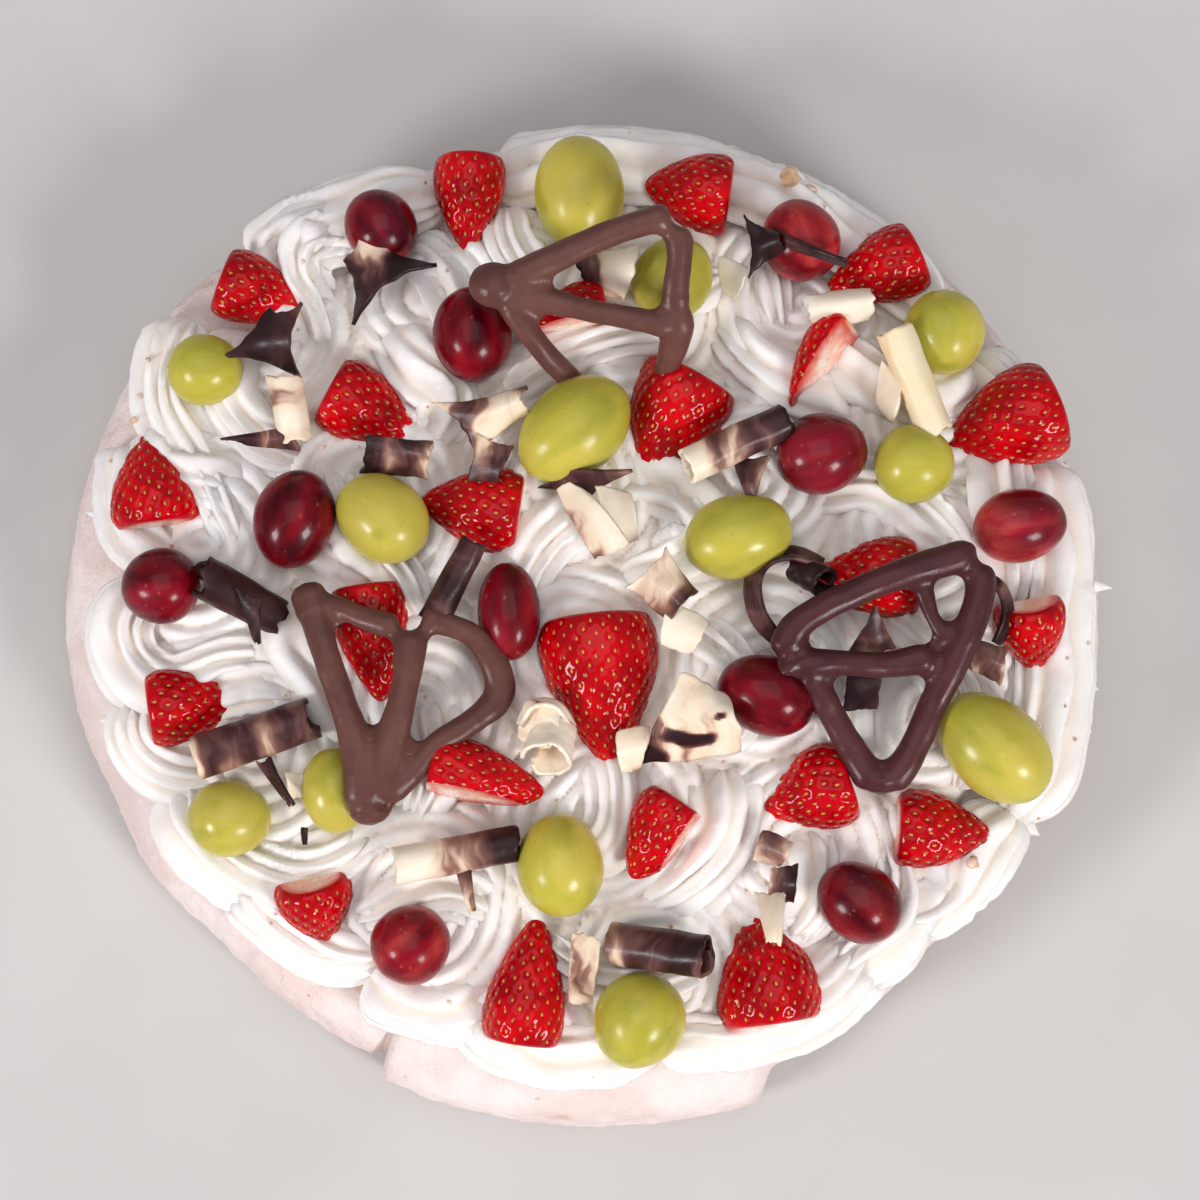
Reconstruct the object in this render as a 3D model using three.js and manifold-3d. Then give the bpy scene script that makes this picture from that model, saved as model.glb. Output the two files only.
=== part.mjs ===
// A round pavlova topped with piped cream, strawberries, grapes and chocolate.
// Millimetres, +Z up, resting on the flat underside of the meringue.
import * as THREE from 'three';
import { mergeVertices } from 'three/addons/utils/BufferGeometryUtils.js';
import Module from 'manifold-3d';

const wasm = await Module();
wasm.setup();

// Driving dimensions
const MERINGUE_RADIUS = 113.5;
const MERINGUE_TOP = 24;
const CREAM_MIDDLE = 45;
const CREAM_RIM = 35;
const CREAM_RADIUS = 105;
const CORE_BELOW_CREST = 6;
const ROPE_RADIUS = 10;
const ROPE_RIDGES = 4;
const ROPE_GROOVE = 0.22;
const ROPE_STEP = 20;
const ROPE_END = 0.45;
const SUNK = 6;
const GAP = 0.35;
const CREAM_SIMPLER = 0.3;
const LATTICE_SIMPLER = 0.12;
const CUT_SIMPLER = 0.1;
const TOPPING_SIMPLER = 0.02;
const CHOCOLATE_SHEET = 1.5;
const CURL_RINGS = 7;
const STROKE_SIDES = 6;
const STROKE_FLATNESS = 0.8;

// Looks: colour, roughness, metalness
const LOOKS = {
  meringue: ['#ecdcd6', 0.75, 0],
  cream: ['#f7f3ee', 0.45, 0],
  strawberry: ['#c8141c', 0.25, 0],
  green_grape: ['#b9bd4c', 0.25, 0],
  red_grape: ['#6b1420', 0.25, 0],
  milk_chocolate: ['#5f4038', 0.4, 0],
  dark_chocolate: ['#3c2623', 0.4, 0],
  white_chocolate: ['#efdcb4', 0.45, 0],
  marbled_chocolate: ['#7a5a50', 0.4, 0],
};

const UP = new THREE.Vector3(0, 0, 1);

// Height of the cream's crests over a point of the cake
function creamCrest(x, y) {
  const share = Math.min(Math.hypot(x, y) / CREAM_RADIUS, 1);
  return CREAM_MIDDLE - (CREAM_MIDDLE - CREAM_RIM) * share * share;
}

// A closed solid from a three.js geometry
function solid(geometry) {
  const bare = new THREE.BufferGeometry();
  bare.setAttribute('position', geometry.getAttribute('position'));
  bare.setIndex(geometry.index);
  const merged = mergeVertices(bare, 1e-4);
  const corners = Array.from(merged.index.array);
  const kept = [];
  for (let i = 0; i < corners.length; i += 3) {
    const [a, b, c] = corners.slice(i, i + 3);
    if (a !== b && b !== c && c !== a) kept.push(a, b, c);
  }
  const build = (triVerts) => new wasm.Manifold(new wasm.Mesh({
    numProp: 3,
    vertProperties: merged.attributes.position.array,
    triVerts: new Uint32Array(triVerts),
  }));
  const made = build(kept);
  return made.volume() < 0 ? build(kept.reverse()) : made;
}

// The three.js geometry of a solid
function geometryOf(body) {
  const mesh = body.getMesh();
  const geometry = new THREE.BufferGeometry();
  geometry.setAttribute('position', new THREE.BufferAttribute(mesh.vertProperties, 3));
  geometry.setIndex(new THREE.BufferAttribute(mesh.triVerts, 1));
  geometry.computeVertexNormals();
  return geometry;
}

// A closed skin over rings of equally many points, each end shut by a fan
function loft(rings) {
  const around = rings[0].length;
  const points = rings.flat();
  const corners = [];
  for (let i = 0; i + 1 < rings.length; i += 1) {
    for (let j = 0; j < around; j += 1) {
      const a = i * around + j;
      const b = i * around + (j + 1) % around;
      corners.push(a, b, b + around, a, b + around, a + around);
    }
  }
  const last = (rings.length - 1) * around;
  for (const [first, turned] of [[0, true], [last, false]]) {
    const middle = new THREE.Vector3();
    for (let j = 0; j < around; j += 1) middle.addScaledVector(points[first + j], 1 / around);
    points.push(middle);
    for (let j = 0; j < around; j += 1) {
      const a = first + j;
      const b = first + (j + 1) % around;
      corners.push(points.length - 1, turned ? b : a, turned ? a : b);
    }
  }
  const geometry = new THREE.BufferGeometry().setFromPoints(points);
  geometry.setIndex(corners);
  return solid(geometry);
}

// The largest body of a solid that a cut has left in pieces
function largest(body) {
  return body.decompose().sort((a, b) => b.volume() - a.volume())[0];
}

// Meringue outline: angle in degrees, radius as a share of the driving radius
const MERINGUE_OUTLINE = [
  [0, 0.99], [20, 0.98], [40, 0.965], [60, 0.95], [80, 0.955], [100, 0.93], [115, 0.94], [130, 0.985],
  [146, 1.02], [165, 1.03], [185, 1.03], [205, 1.0], [225, 0.965], [243, 0.96], [246, 0.995],
  [266, 0.995], [288, 1.0], [292, 0.945], [318, 0.92], [335, 0.95], [350, 0.98],
];
// Side of the meringue from the underside up: height, inset from the outline
const MERINGUE_SIDE = [[0, 5], [2.5, 1.2], [8, 0], [15, 1], [20, 3.5], [23, 7], [MERINGUE_TOP, 12]];
const MERINGUE_CRACK = { angle: 244.5, half: 1.2, depth: 6 };

function outlineRadius(angle) {
  const turn = ((angle % 360) + 360) % 360;
  const after = MERINGUE_OUTLINE.findIndex(([a]) => a > turn);
  const upper = after < 0 ? [360, MERINGUE_OUTLINE[0][1]] : MERINGUE_OUTLINE[after];
  const lower = MERINGUE_OUTLINE[(after < 0 ? MERINGUE_OUTLINE.length : after) - 1];
  const share = (turn - lower[0]) / (upper[0] - lower[0]);
  const eased = share * share * (3 - 2 * share);
  const crack = Math.max(0, 1 - Math.abs(turn - MERINGUE_CRACK.angle) / MERINGUE_CRACK.half);
  return MERINGUE_RADIUS * (lower[1] + (upper[1] - lower[1]) * eased) - MERINGUE_CRACK.depth * crack;
}

function makeMeringue(grow) {
  const { angle, half } = MERINGUE_CRACK;
  const angles = [angle - half, angle, angle + half, 289.5];
  for (let turn = 0; turn < 360; turn += 12) angles.push(turn);
  angles.sort((a, b) => a - b);
  const rings = MERINGUE_SIDE.map(([height, inset], level) => angles.map((turn) => {
    const radius = outlineRadius(turn) - inset + grow;
    const lift = level === 0 ? -grow : level * grow / (MERINGUE_SIDE.length - 1);
    const a = THREE.MathUtils.degToRad(turn);
    return new THREE.Vector3(radius * Math.cos(a), radius * Math.sin(a), height + lift);
  }));
  return loft(rings);
}

// Piped ropes of cream: name, radius share, lift over the crest line, then the middle line
const ROPES = [
  ['top_left_hook', 1, 0, [-52, 84], [-63, 80], [-66, 73], [-63, 63], [-58, 53]],
  ['left_long', 1, -1, [-89, 67], [-93, 52], [-90, 39], [-82, 24], [-75, 11]],
  ['left_inner', 0.85, 1, [-75, 61], [-78, 48], [-71, 37], [-62, 32]],
  ['left_scale_high', 0.8, -1, [-104, 34], [-105, 22], [-101, 13], [-92, 8]],
  ['left_rosette', 1, 0, [-98, 5], [-103, -4], [-101, -12], [-92, -16], [-80, -13], [-66, -12]],
  ['left_scale_low', 1, -1, [-101, -19], [-100, -28], [-92, -34], [-78, -36]],
  ['left_ridge', 0.8, 1, [-84, -22], [-72, -19], [-62, -20]],
  ['inner_left', 1, 1, [-62, 4], [-64, -8], [-60, -20], [-52, -31]],
  ['lower_left_rosette', 1.1, 0, [-89, -40], [-87, -51], [-77, -59], [-64, -60], [-52, -55], [-45, -48]],
  ['lower_left_rim', 0.9, -2, [-74, -65], [-67, -74], [-56, -80], [-44, -79]],
  ['lower_rim', 0.9, -1, [-47, -84], [-39, -90], [-29, -91], [-20, -86]],
  ['bottom_scale', 1, -2, [-25, -90], [-17, -97], [-6, -99], [5, -96], [12, -89]],
  ['lower_right_band', 1.1, -1, [13, -92], [36, -91], [51, -84], [66, -70]],
  ['right_hook', 1, 0, [64, -41], [68, -52], [67, -62], [61, -72], [51, -80]],
  ['right_inner', 0.8, 1, [45, -48], [46, -57], [44, -65], [40, -72]],
  ['lower_arc', 1.2, 1, [28, -34], [28, -46], [22, -56], [9, -64]],
  ['lower_middle', 0.9, 1, [3, -30], [5, -40], [2, -50], [-8, -56]],
  ['right_rim', 1.05, -1, [98, 32], [101, 16], [101, -2], [101, -18], [98, -33], [91, -46]],
  ['right_upright', 1, 0, [86, 38], [89, 24], [90, 10], [89, -3]],
  ['right_smear', 1, 0, [45, 25], [62, 25], [74, 16], [79, 4]],
  ['middle_arc', 1, 0, [-20, -2], [-14, 10], [-5, 18], [8, 22]],
  ['middle_spiral', 1, 0, [2, 27], [16, 26], [24, 17], [16, 7], [4, 4]],
  ['middle_right', 1, 1, [20, -4], [28, -14], [29, -24], [22, -32]],
  ['upper_middle', 1, 0, [-20, 46], [-6, 54], [12, 59], [26, 58]],
  ['upper_right', 1, 0, [26, 62], [36, 52], [46, 44], [58, 40]],
  ['top_band', 1, -2, [-22, 96], [0, 98], [23, 95], [42, 88], [60, 77], [76, 62]],
  ['top_right_fall', 0.9, 0, [36, 76], [38, 66], [40, 58]],
  ['top_fall', 0.9, 0, [-20, 88], [-17, 77], [-10, 66]],
  ['top_left_rim', 0.9, -1, [-77, 77], [-62, 86], [-46, 89], [-32, 93]],
  ['upper_left_fold', 0.9, 1, [-44, 62], [-38, 52], [-32, 44], [-34, 34]],
  ['left_middle', 0.9, 1, [-58, 30], [-52, 18], [-44, 8], [-36, -4]],
  ['low_left_middle', 0.9, 1, [-36, -20], [-34, -34], [-38, -48]],
];

// Rings of a star-shaped section along a curve, narrowed at both ends
function ropeRings(curve, radius, steps) {
  const rings = [];
  for (let i = 0; i <= steps; i += 1) {
    const share = i / steps;
    const middle = curve.getPointAt(share);
    const side = new THREE.Vector3().crossVectors(UP, curve.getTangentAt(share)).normalize();
    const ends = i === 0 || i === steps ? ROPE_END : 1;
    const ring = [middle.clone().addScaledVector(UP, -radius * ends)];
    for (let k = 0; k < ROPE_RIDGES * 2 - 1; k += 1) {
      const turn = Math.PI * (k / (ROPE_RIDGES * 2 - 2) * 1.16 - 0.08);
      const reach = radius * ends * (k % 2 ? 1 : 1 - ROPE_GROOVE);
      const point = middle.clone().addScaledVector(side, -reach * Math.cos(turn));
      ring.push(point.addScaledVector(UP, reach * Math.sin(turn)));
    }
    rings.push(ring);
  }
  return rings;
}

function makeRope([, share, lift, ...middleLine]) {
  const radius = ROPE_RADIUS * share;
  const curve = new THREE.CatmullRomCurve3(middleLine.map(
    ([x, y]) => new THREE.Vector3(x, y, creamCrest(x, y) + lift - radius),
  ));
  const steps = Math.max(2, Math.round(curve.getLength() / ROPE_STEP));
  return loft(ropeRings(curve, radius, steps));
}

// The low mound under the ropes: share of the cream radius, depth under the crest line
const CORE_RINGS = [[0.9, 20], [0.94, 10], [0.88, CORE_BELOW_CREST], [0.5, CORE_BELOW_CREST]];

function makeCore() {
  const sectors = 20;
  const rings = CORE_RINGS.map(([share, below]) => {
    const ring = [];
    for (let i = 0; i < sectors; i += 1) {
      const turn = 360 * i / sectors;
      const radius = share * CREAM_RADIUS * outlineRadius(turn) / MERINGUE_RADIUS;
      const a = THREE.MathUtils.degToRad(turn);
      const x = radius * Math.cos(a);
      const y = radius * Math.sin(a);
      ring.push(new THREE.Vector3(x, y, creamCrest(x, y) - below));
    }
    return ring;
  });
  return loft(rings);
}

// A berry-sized piece is centred over (x, y) and sunk into the cream
function seatOffset(body, x, y, sunk) {
  const { min, max } = body.boundingBox();
  return [
    x - (min[0] + max[0]) / 2,
    y - (min[1] + max[1]) / 2,
    creamCrest(x, y) - sunk - min[2],
  ];
}

function makeGrape(grow, length, width, turn) {
  const ball = new THREE.SphereGeometry(1, 8, 5);
  ball.rotateZ(Math.PI / 2);
  const reach = [length / 2 + grow, width / 2 + grow, width / 2 + grow];
  return solid(ball).scale(reach).rotate([0, 0, turn]);
}

// Profile of a strawberry from the stalk end to the tip: share of length, share of half width
const BERRY_PROFILE = [[0, 0], [0.02, 0.6], [0.14, 0.93], [0.34, 1], [0.62, 0.76], [0.9, 0.34], [1, 0]];

// A strawberry cut lengthways; its tip points along turn, and roll tips the cut face up sideways
function makeBerry(grow, length, width, turn, roll, pitch, cut) {
  const long = length + 2 * grow;
  const half = width / 2 + grow;
  const profile = BERRY_PROFILE.map(
    ([along, out]) => new THREE.Vector2(out * half, along * long - long / 2),
  );
  const lathe = new THREE.LatheGeometry(profile, 8);
  lathe.rotateZ(-Math.PI / 2);
  const whole = solid(lathe);
  return whole.trimByPlane([0, 0, 1], -cut * width - grow).rotate([roll, pitch, turn]);
}

// A thin curl of chocolate: part of a pipe along X, narrowed by taper at its far end
function makeCurl(grow, length, radius, sweep, taper, roll, pitch, turn) {
  const rings = [];
  for (let i = 0; i < CURL_RINGS; i += 1) {
    const end = i === 0 ? -1 : Number(i === CURL_RINGS - 1);
    const angle = (i / (CURL_RINGS - 1) - 0.5) * THREE.MathUtils.degToRad(sweep) + end * grow / radius;
    const corner = (along, wall) => {
      const narrowed = radius * (1 - taper * (0.5 + along));
      const reach = narrowed + wall * (CHOCOLATE_SHEET / 2 + grow);
      const x = along * (length + 2 * grow);
      return new THREE.Vector3(x, reach * Math.sin(angle), reach * Math.cos(angle));
    };
    rings.push([corner(-0.5, -1), corner(0.5, -1), corner(0.5, 1), corner(-0.5, 1)]);
  }
  return loft(rings).rotate([roll, pitch, turn]);
}

// One stroke of piped chocolate through points (x, y, z, width), rounded at both ends
function makeStroke(grow, points) {
  const curve = new THREE.CatmullRomCurve3(points.map(([x, y, z]) => new THREE.Vector3(x, y, z)));
  const steps = points.length - 1;
  const rings = [];
  for (let i = 0; i <= steps; i += 1) {
    const share = i / steps;
    const along = share * (points.length - 1);
    const before = Math.min(Math.floor(along), points.length - 2);
    const mixed = THREE.MathUtils.lerp(points[before][3], points[before + 1][3], along - before);
    const width = mixed * (i === 0 || i === steps ? 0.55 : 1);
    const tangent = curve.getTangent(share);
    const side = new THREE.Vector3().crossVectors(UP, tangent).normalize();
    const above = new THREE.Vector3().crossVectors(tangent, side).normalize();
    const ring = [];
    for (let k = 0; k < STROKE_SIDES; k += 1) {
      const turn = 2 * Math.PI * k / STROKE_SIDES;
      const point = curve.getPoint(share).addScaledVector(side, -(width / 2 + grow) * Math.cos(turn));
      ring.push(point.addScaledVector(above, (width * STROKE_FLATNESS / 2 + grow) * Math.sin(turn)));
    }
    rings.push(ring);
  }
  return loft(rings);
}

// Chocolate lattices: strokes of points (x, y, z, width); all strokes of one lattice touch
const LATTICES = {
  lattice_left: {
    look: 'milk_chocolate',
    strokes: [
      [[-62, 3, 45, 6], [-58, -12, 50, 6], [-53, -26, 51, 5], [-49, -40, 51, 6]],
      [[-60, 1, 46, 4.5], [-52, -3, 50, 4.5], [-43, -5, 52, 4.5], [-38, -4, 52, 6.5]],
      [[-38, -4, 52, 6.5], [-40, -13, 53, 5.5], [-42, -24, 53, 5.5], [-46, -34, 52, 7], [-48, -43, 50, 10]],
      [[-38, -4, 52, 6.5], [-31, -8, 50, 5], [-24, -12, 48, 5], [-21, -19, 46, 6]],
      [[-21, -19, 46, 6], [-29, -26, 49, 5.5], [-39, -32, 51, 5], [-46, -40, 51, 7]],
      [[-48, -38, 51, 10], [-48, -45, 50, 11], [-46, -48, 49, 6]],
    ],
  },
  lattice_top: {
    look: 'milk_chocolate',
    strokes: [
      [[-30, 69, 56, 6], [-24, 68, 57, 10], [-17, 67, 58, 10], [-13, 66, 58, 8]],
      [[-15, 67, 58, 8], [-4, 72, 60, 5], [8, 77, 61, 5], [18, 81, 61, 6], [20, 79, 61, 6]],
      [[20, 80, 61, 6], [18, 71, 59, 5], [17, 62, 56, 5], [16, 52, 48, 5.5], [15, 46, 40, 5.5]],
      [[-13, 66, 58, 6], [-3, 62, 57, 4.5], [8, 60, 56, 4.5], [18, 59, 55, 7], [21, 58, 55, 4]],
      [[-16, 65, 58, 5.5], [-10, 57, 55, 4.5], [-3, 49, 48, 4.5], [2, 43, 41, 5]],
    ],
  },
  lattice_right: {
    look: 'dark_chocolate',
    strokes: [
      [[39, -14, 51, 6], [46, -4, 52, 6.5], [56, 0, 51, 6], [68, 4, 51, 6], [80, 8, 50, 6]],
      [[80, 8, 50, 6], [81, 3, 49, 6], [77, -8, 48, 6], [71, -21, 46, 5.5], [66, -33, 45, 6], [61, -40, 44, 8]],
      [[61, -40, 44, 8], [56, -36, 45, 6], [51, -27, 47, 5], [43, -14, 50, 6]],
      [[41, -13, 51, 6], [52, -14, 50, 5.5], [63, -14, 48, 5.5], [73, -14, 47, 5.5]],
      [[69, 2, 50, 3.5], [71, -4, 49, 3.5], [75, -9, 48, 4.5]],
    ],
  },
};

function makeLattice(grow, strokes) {
  const parts = strokes.map((points) => makeStroke(grow, points));
  return parts.reduce((a, b) => a.add(b)).simplify(LATTICE_SIMPLER);
}

// Chocolate curls: x, y, sunk, then length, radius, sweep, taper, roll, pitch, turn
const CURLS = [
  ['curl_marbled_hook', 'marbled_chocolate', -44, 71, 1, 20, 9, 120, 0.75, -20, 10, -15],
  ['curl_dark_fan', 'dark_chocolate', -71, 57, -3, 19, 8, 130, 0.8, 10, 0, 190],
  ['curl_white_roll', 'white_chocolate', 69, 48, -1, 24, 3.6, 300, 0.1, 30, 4, -73],
  ['curl_dark_open', 'dark_chocolate', -76, 1, 2.5, 21, 4.2, 220, 0.35, -40, 0, -28],
  ['curl_marbled_roll', 'marbled_chocolate', -72, -29, 2.5, 26, 4.6, 280, 0.1, 20, -3, 21],
  ['curl_white_fan', 'white_chocolate', 21, -25, 1, 20, 8, 150, 0.5, -25, 0, -20],
  ['curl_white_tipped', 'marbled_chocolate', -29, -54, 1, 26, 4, 290, 0.05, -20, 3, 14],
  ['curl_brown_roll', 'marbled_chocolate', 14, -74, 1, 22, 4.3, 300, 0, 10, -2, -8],
];

// Grapes: x, y, length, width, direction of the long axis
const GREEN_GRAPES = [
  [-3, 89, 25, 19.5, 92], [17, 70, 19, 17, 60], [76, 59, 18.5, 17.5, 90], [-84, 51, 16.5, 15.5, 0],
  [-4, 37, 27, 20, 42], [69, 30, 17.5, 17, 0], [-45, 18, 21.5, 18, -40], [31, 14, 23.5, 18, 14],
  [86, -31, 28, 20, -42], [-78, -46, 18, 16.5, 0], [-55, -40, 18.5, 15, 90], [-7, -56, 22, 18.5, 95],
  [10, -89, 21, 19.5, 60],
];
const RED_GRAPES = [
  [-46, 82, 17, 15.5, -60], [-26, 58, 20.5, 17, 95], [45, 79, 18, 17, -60], [49, 32, 20, 17.5, 15],
  [-64, 18, 21.5, 17.5, 75], [92, 17, 20.5, 16, 10], [-93, 4, 17, 16.5, 0], [-18, -2, 21, 13.5, 92],
  [37, -20, 21.5, 17, -20], [-39, -73, 17.5, 17, 20], [57, -64, 19.5, 16.5, -40],
];

// Strawberry pieces: x, y, length, width, way the tip points, roll, pitch, depth of the cut
const BERRIES = [
  [-27, 88, 21.5, 16, -92, 0, -4, 0.1], [21, 90, 19, 18.5, 172, 10, 0, 0.05],
  [-73, 70, 20, 16, -20, 0, 5, 0.1], [62, 75, 22.5, 16.5, 205, -8, 0, 0.1],
  [-49, 44, 22, 17, -28, 0, 4, 0.1], [19, 41, 25, 22.5, 240, 6, 0, 0],
  [50, 53, 22, 15, 232, 115, 0, 0], [90, 42, 26, 22.5, 200, 0, -4, 0.05],
  [-95, 27, 21, 20, 98, 0, 5, 0], [-26, 20, 22, 18.5, 172, 8, 0, 0.05],
  [58, 6, 24.5, 17.5, 182, 0, 0, 0.05], [94, -6, 17, 16, -80, 0, 15, 0.05],
  [-48, -8, 25.5, 17, -82, -8, 0, 0.1], [-86, -22, 21.5, 16.5, 8, 0, 5, 0.1],
  [1, -18, 32, 26, -92, 0, -4, 0], [-23, -36, 25, 17, -10, -100, 0, 0.2],
  [15, -49, 19.5, 17, -125, 98, 0, 0.25], [47, -39, 19.5, 18.5, 200, 0, 0, 0.1],
  [75, -48, 21, 17.5, -4, 0, 5, 0.1], [-60, -65, 16, 17, -78, 0, 15, 0],
  [-15, -81, 27.5, 18, 82, 0, -4, 0.1], [38, -78, 25.5, 23, 98, 0, 0, 0],
  [-6, 64, 19, 15, 190, 100, 0, 0.1],
];

// Toppings in order from the uppermost down: each gives way to the ones before it
const toppings = [];

function addTopping(name, look, make, offset) {
  let body = make(0).translate(offset);
  for (const other of toppings) body = body.subtract(other.room);
  body = largest(body).simplify(TOPPING_SIMPLER);
  toppings.push({ name, look, body, room: make(GAP).translate(offset) });
}

for (const [name, { look, strokes }] of Object.entries(LATTICES)) {
  addTopping(name, look, (grow) => makeLattice(grow, strokes), [0, 0, 0]);
}
for (const [name, look, x, y, sunk, ...shape] of CURLS) {
  const make = (grow) => makeCurl(grow, ...shape);
  addTopping(name, look, make, seatOffset(make(0), x, y, sunk));
}
for (const [kind, grapes] of [['green_grape', GREEN_GRAPES], ['red_grape', RED_GRAPES]]) {
  grapes.forEach(([x, y, ...shape], i) => {
    const make = (grow) => makeGrape(grow, ...shape);
    addTopping(`${kind}_${i + 1}`, kind, make, seatOffset(make(0), x, y, SUNK));
  });
}
BERRIES.forEach(([x, y, ...shape], i) => {
  const make = (grow) => makeBerry(grow, ...shape);
  addTopping(`strawberry_${i + 1}`, 'strawberry', make, seatOffset(make(0), x, y, SUNK));
});

// The cream: mound and ropes in one, resting on the meringue and giving room to each topping
function makeCream() {
  let cream = ROPES.map(makeRope).reduce((a, b) => a.add(b), makeCore()).simplify(CREAM_SIMPLER);
  cream = cream.subtract(makeMeringue(GAP));
  for (const { room } of toppings) cream = cream.subtract(room);
  return largest(cream).simplify(CUT_SIMPLER);
}

const pavlova = new THREE.Group();
pavlova.name = 'pavlova';

function addMesh(name, look, body) {
  const [color, roughness, metalness] = LOOKS[look];
  const material = new THREE.MeshStandardMaterial({ color, roughness, metalness });
  material.name = look;
  const mesh = new THREE.Mesh(geometryOf(body), material);
  mesh.name = name;
  pavlova.add(mesh);
}

addMesh('meringue', 'meringue', makeMeringue(0));
addMesh('cream', 'cream', makeCream());
for (const { name, look, body } of toppings) addMesh(name, look, body);

// The group stands centred on its own outline, with its underside at zero
const box = new THREE.Box3().setFromObject(pavlova);
const middle = box.getCenter(new THREE.Vector3());
pavlova.position.set(-middle.x, -middle.y, -box.min.z);

export default pavlova;
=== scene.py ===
import math
import random

import bmesh
import bpy
from mathutils import Matrix, Vector, kdtree, noise
from mathutils.bvhtree import BVHTree


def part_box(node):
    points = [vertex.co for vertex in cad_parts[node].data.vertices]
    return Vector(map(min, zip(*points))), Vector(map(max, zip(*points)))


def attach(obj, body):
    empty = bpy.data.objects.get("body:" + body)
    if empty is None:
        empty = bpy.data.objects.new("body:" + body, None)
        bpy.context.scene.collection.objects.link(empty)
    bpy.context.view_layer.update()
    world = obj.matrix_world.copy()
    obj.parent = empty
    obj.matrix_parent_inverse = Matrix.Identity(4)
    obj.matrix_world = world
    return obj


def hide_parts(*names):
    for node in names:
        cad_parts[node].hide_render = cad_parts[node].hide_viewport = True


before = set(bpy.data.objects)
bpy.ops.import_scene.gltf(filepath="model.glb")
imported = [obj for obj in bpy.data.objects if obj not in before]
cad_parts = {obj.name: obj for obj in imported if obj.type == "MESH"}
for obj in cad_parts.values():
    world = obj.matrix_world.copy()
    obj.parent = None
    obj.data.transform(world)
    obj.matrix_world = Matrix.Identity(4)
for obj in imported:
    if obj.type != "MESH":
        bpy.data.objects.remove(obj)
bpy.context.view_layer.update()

# A round pavlova: a meringue base, piped cream, strawberries, grapes and chocolate.
# Tables are in millimetres from the middle of the cake; meshes are in metres.
MM = 0.001
CREAM_MIDDLE = 45
CREAM_RIM = 35
CREAM_RADIUS = 105
SAME_PLACE = 1e-6


# ---------------------------------------------------------------- places

def box_centre(node):
    low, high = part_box(node)
    return (low + high) / 2


# One whole grape and its place in the tables fix where the cake's middle is in the frame.
KEY_GRAPE = "green_grape_12"
KEY_X = -7
KEY_Y = -56
key = box_centre(KEY_GRAPE)
MIDDLE = Vector((key.x - KEY_X * MM, key.y - KEY_Y * MM, 0))


def spot(x, y, z):
    return MIDDLE + Vector((x, y, z)) * MM


def crest(x, y):
    """Height in millimetres of the cream's crests over a point of the cake."""
    share = min(math.hypot(x, y) / CREAM_RADIUS, 1)
    return CREAM_MIDDLE - (CREAM_MIDDLE - CREAM_RIM) * share * share


def turned(roll, pitch, turn):
    return (
        Matrix.Rotation(math.radians(turn), 4, "Z")
        @ Matrix.Rotation(math.radians(pitch), 4, "Y")
        @ Matrix.Rotation(math.radians(roll), 4, "X")
    )


# ---------------------------------------------------------------- shape helpers

CURVE_STEPS = 16


def clamped(share):
    return max(0, min(1, share))


def eased(share):
    """From 0 to 1 with a soft start and end."""
    share = clamped(share)
    return share * share * (3 - 2 * share)


def ripple(x, y, z):
    """Smooth noise between about -1 and 1."""
    return noise.noise(Vector((x, y, z)))


def smooth_path(points, count):
    """count + 1 points, evenly spaced along a smooth curve through the given ones."""
    ends = [points[0] * 2 - points[1], *points, points[-1] * 2 - points[-2]]
    fine = []
    for i in range(1, len(ends) - 2):
        p0, p1, p2, p3 = ends[i - 1:i + 3]
        for k in range(CURVE_STEPS):
            t = k / CURVE_STEPS
            fine.append(0.5 * (
                2 * p1 + (p2 - p0) * t + (2 * p0 - 5 * p1 + 4 * p2 - p3) * t * t
                + (3 * p1 - p0 - 3 * p2 + p3) * t ** 3
            ))
    fine.append(points[-1].copy())
    lengths = [0.0]
    for a, b in zip(fine, fine[1:]):
        lengths.append(lengths[-1] + (b - a).length)
    path = []
    j = 0
    for i in range(count + 1):
        goal = lengths[-1] * i / count
        while j < len(fine) - 2 and lengths[j + 1] < goal:
            j += 1
        gap = lengths[j + 1] - lengths[j]
        path.append(fine[j].lerp(fine[j + 1], (goal - lengths[j]) / gap if gap else 0))
    return path


def path_length(points):
    path = smooth_path(points, 40)
    return sum((b - a).length for a, b in zip(path, path[1:]))


def way_along(path, i):
    return (path[min(i + 1, len(path) - 1)] - path[max(i - 1, 0)]).normalized()


def grid_steps(bm, along, around):
    """The vertices of a new grid, each with its column and row, to be moved onto a shape."""
    made = bmesh.ops.create_grid(bm, x_segments=along, y_segments=around, size=1)
    return [(v, round((v.co.x + 1) / 2 * along), round((v.co.y + 1) / 2 * around))
            for v in made["verts"]]


def new_piece(name, bm, materials, smooth=True, recalc=False):
    if recalc:
        bmesh.ops.recalc_face_normals(bm, faces=bm.faces)
    for face in bm.faces:
        face.smooth = smooth
    mesh = bpy.data.meshes.new(name)
    bm.to_mesh(mesh)
    bm.free()
    piece = bpy.data.objects.new(name, mesh)
    bpy.context.scene.collection.objects.link(piece)
    for material in materials:
        mesh.materials.append(material)
    return piece


def declare(piece, slot, *nodes):
    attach(piece, "root")
    if nodes:
        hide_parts(*nodes)
    return piece


def low_high(verts):
    low = Vector([min(v.co[i] for v in verts) for i in range(3)])
    high = Vector([max(v.co[i] for v in verts) for i in range(3)])
    return low, high


def centre_on(verts, middle):
    """Move the vertices so that their box has this middle, and return the move."""
    low, high = low_high(verts)
    shift = middle - (low + high) / 2
    for v in verts:
        v.co += shift
    return shift


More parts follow.
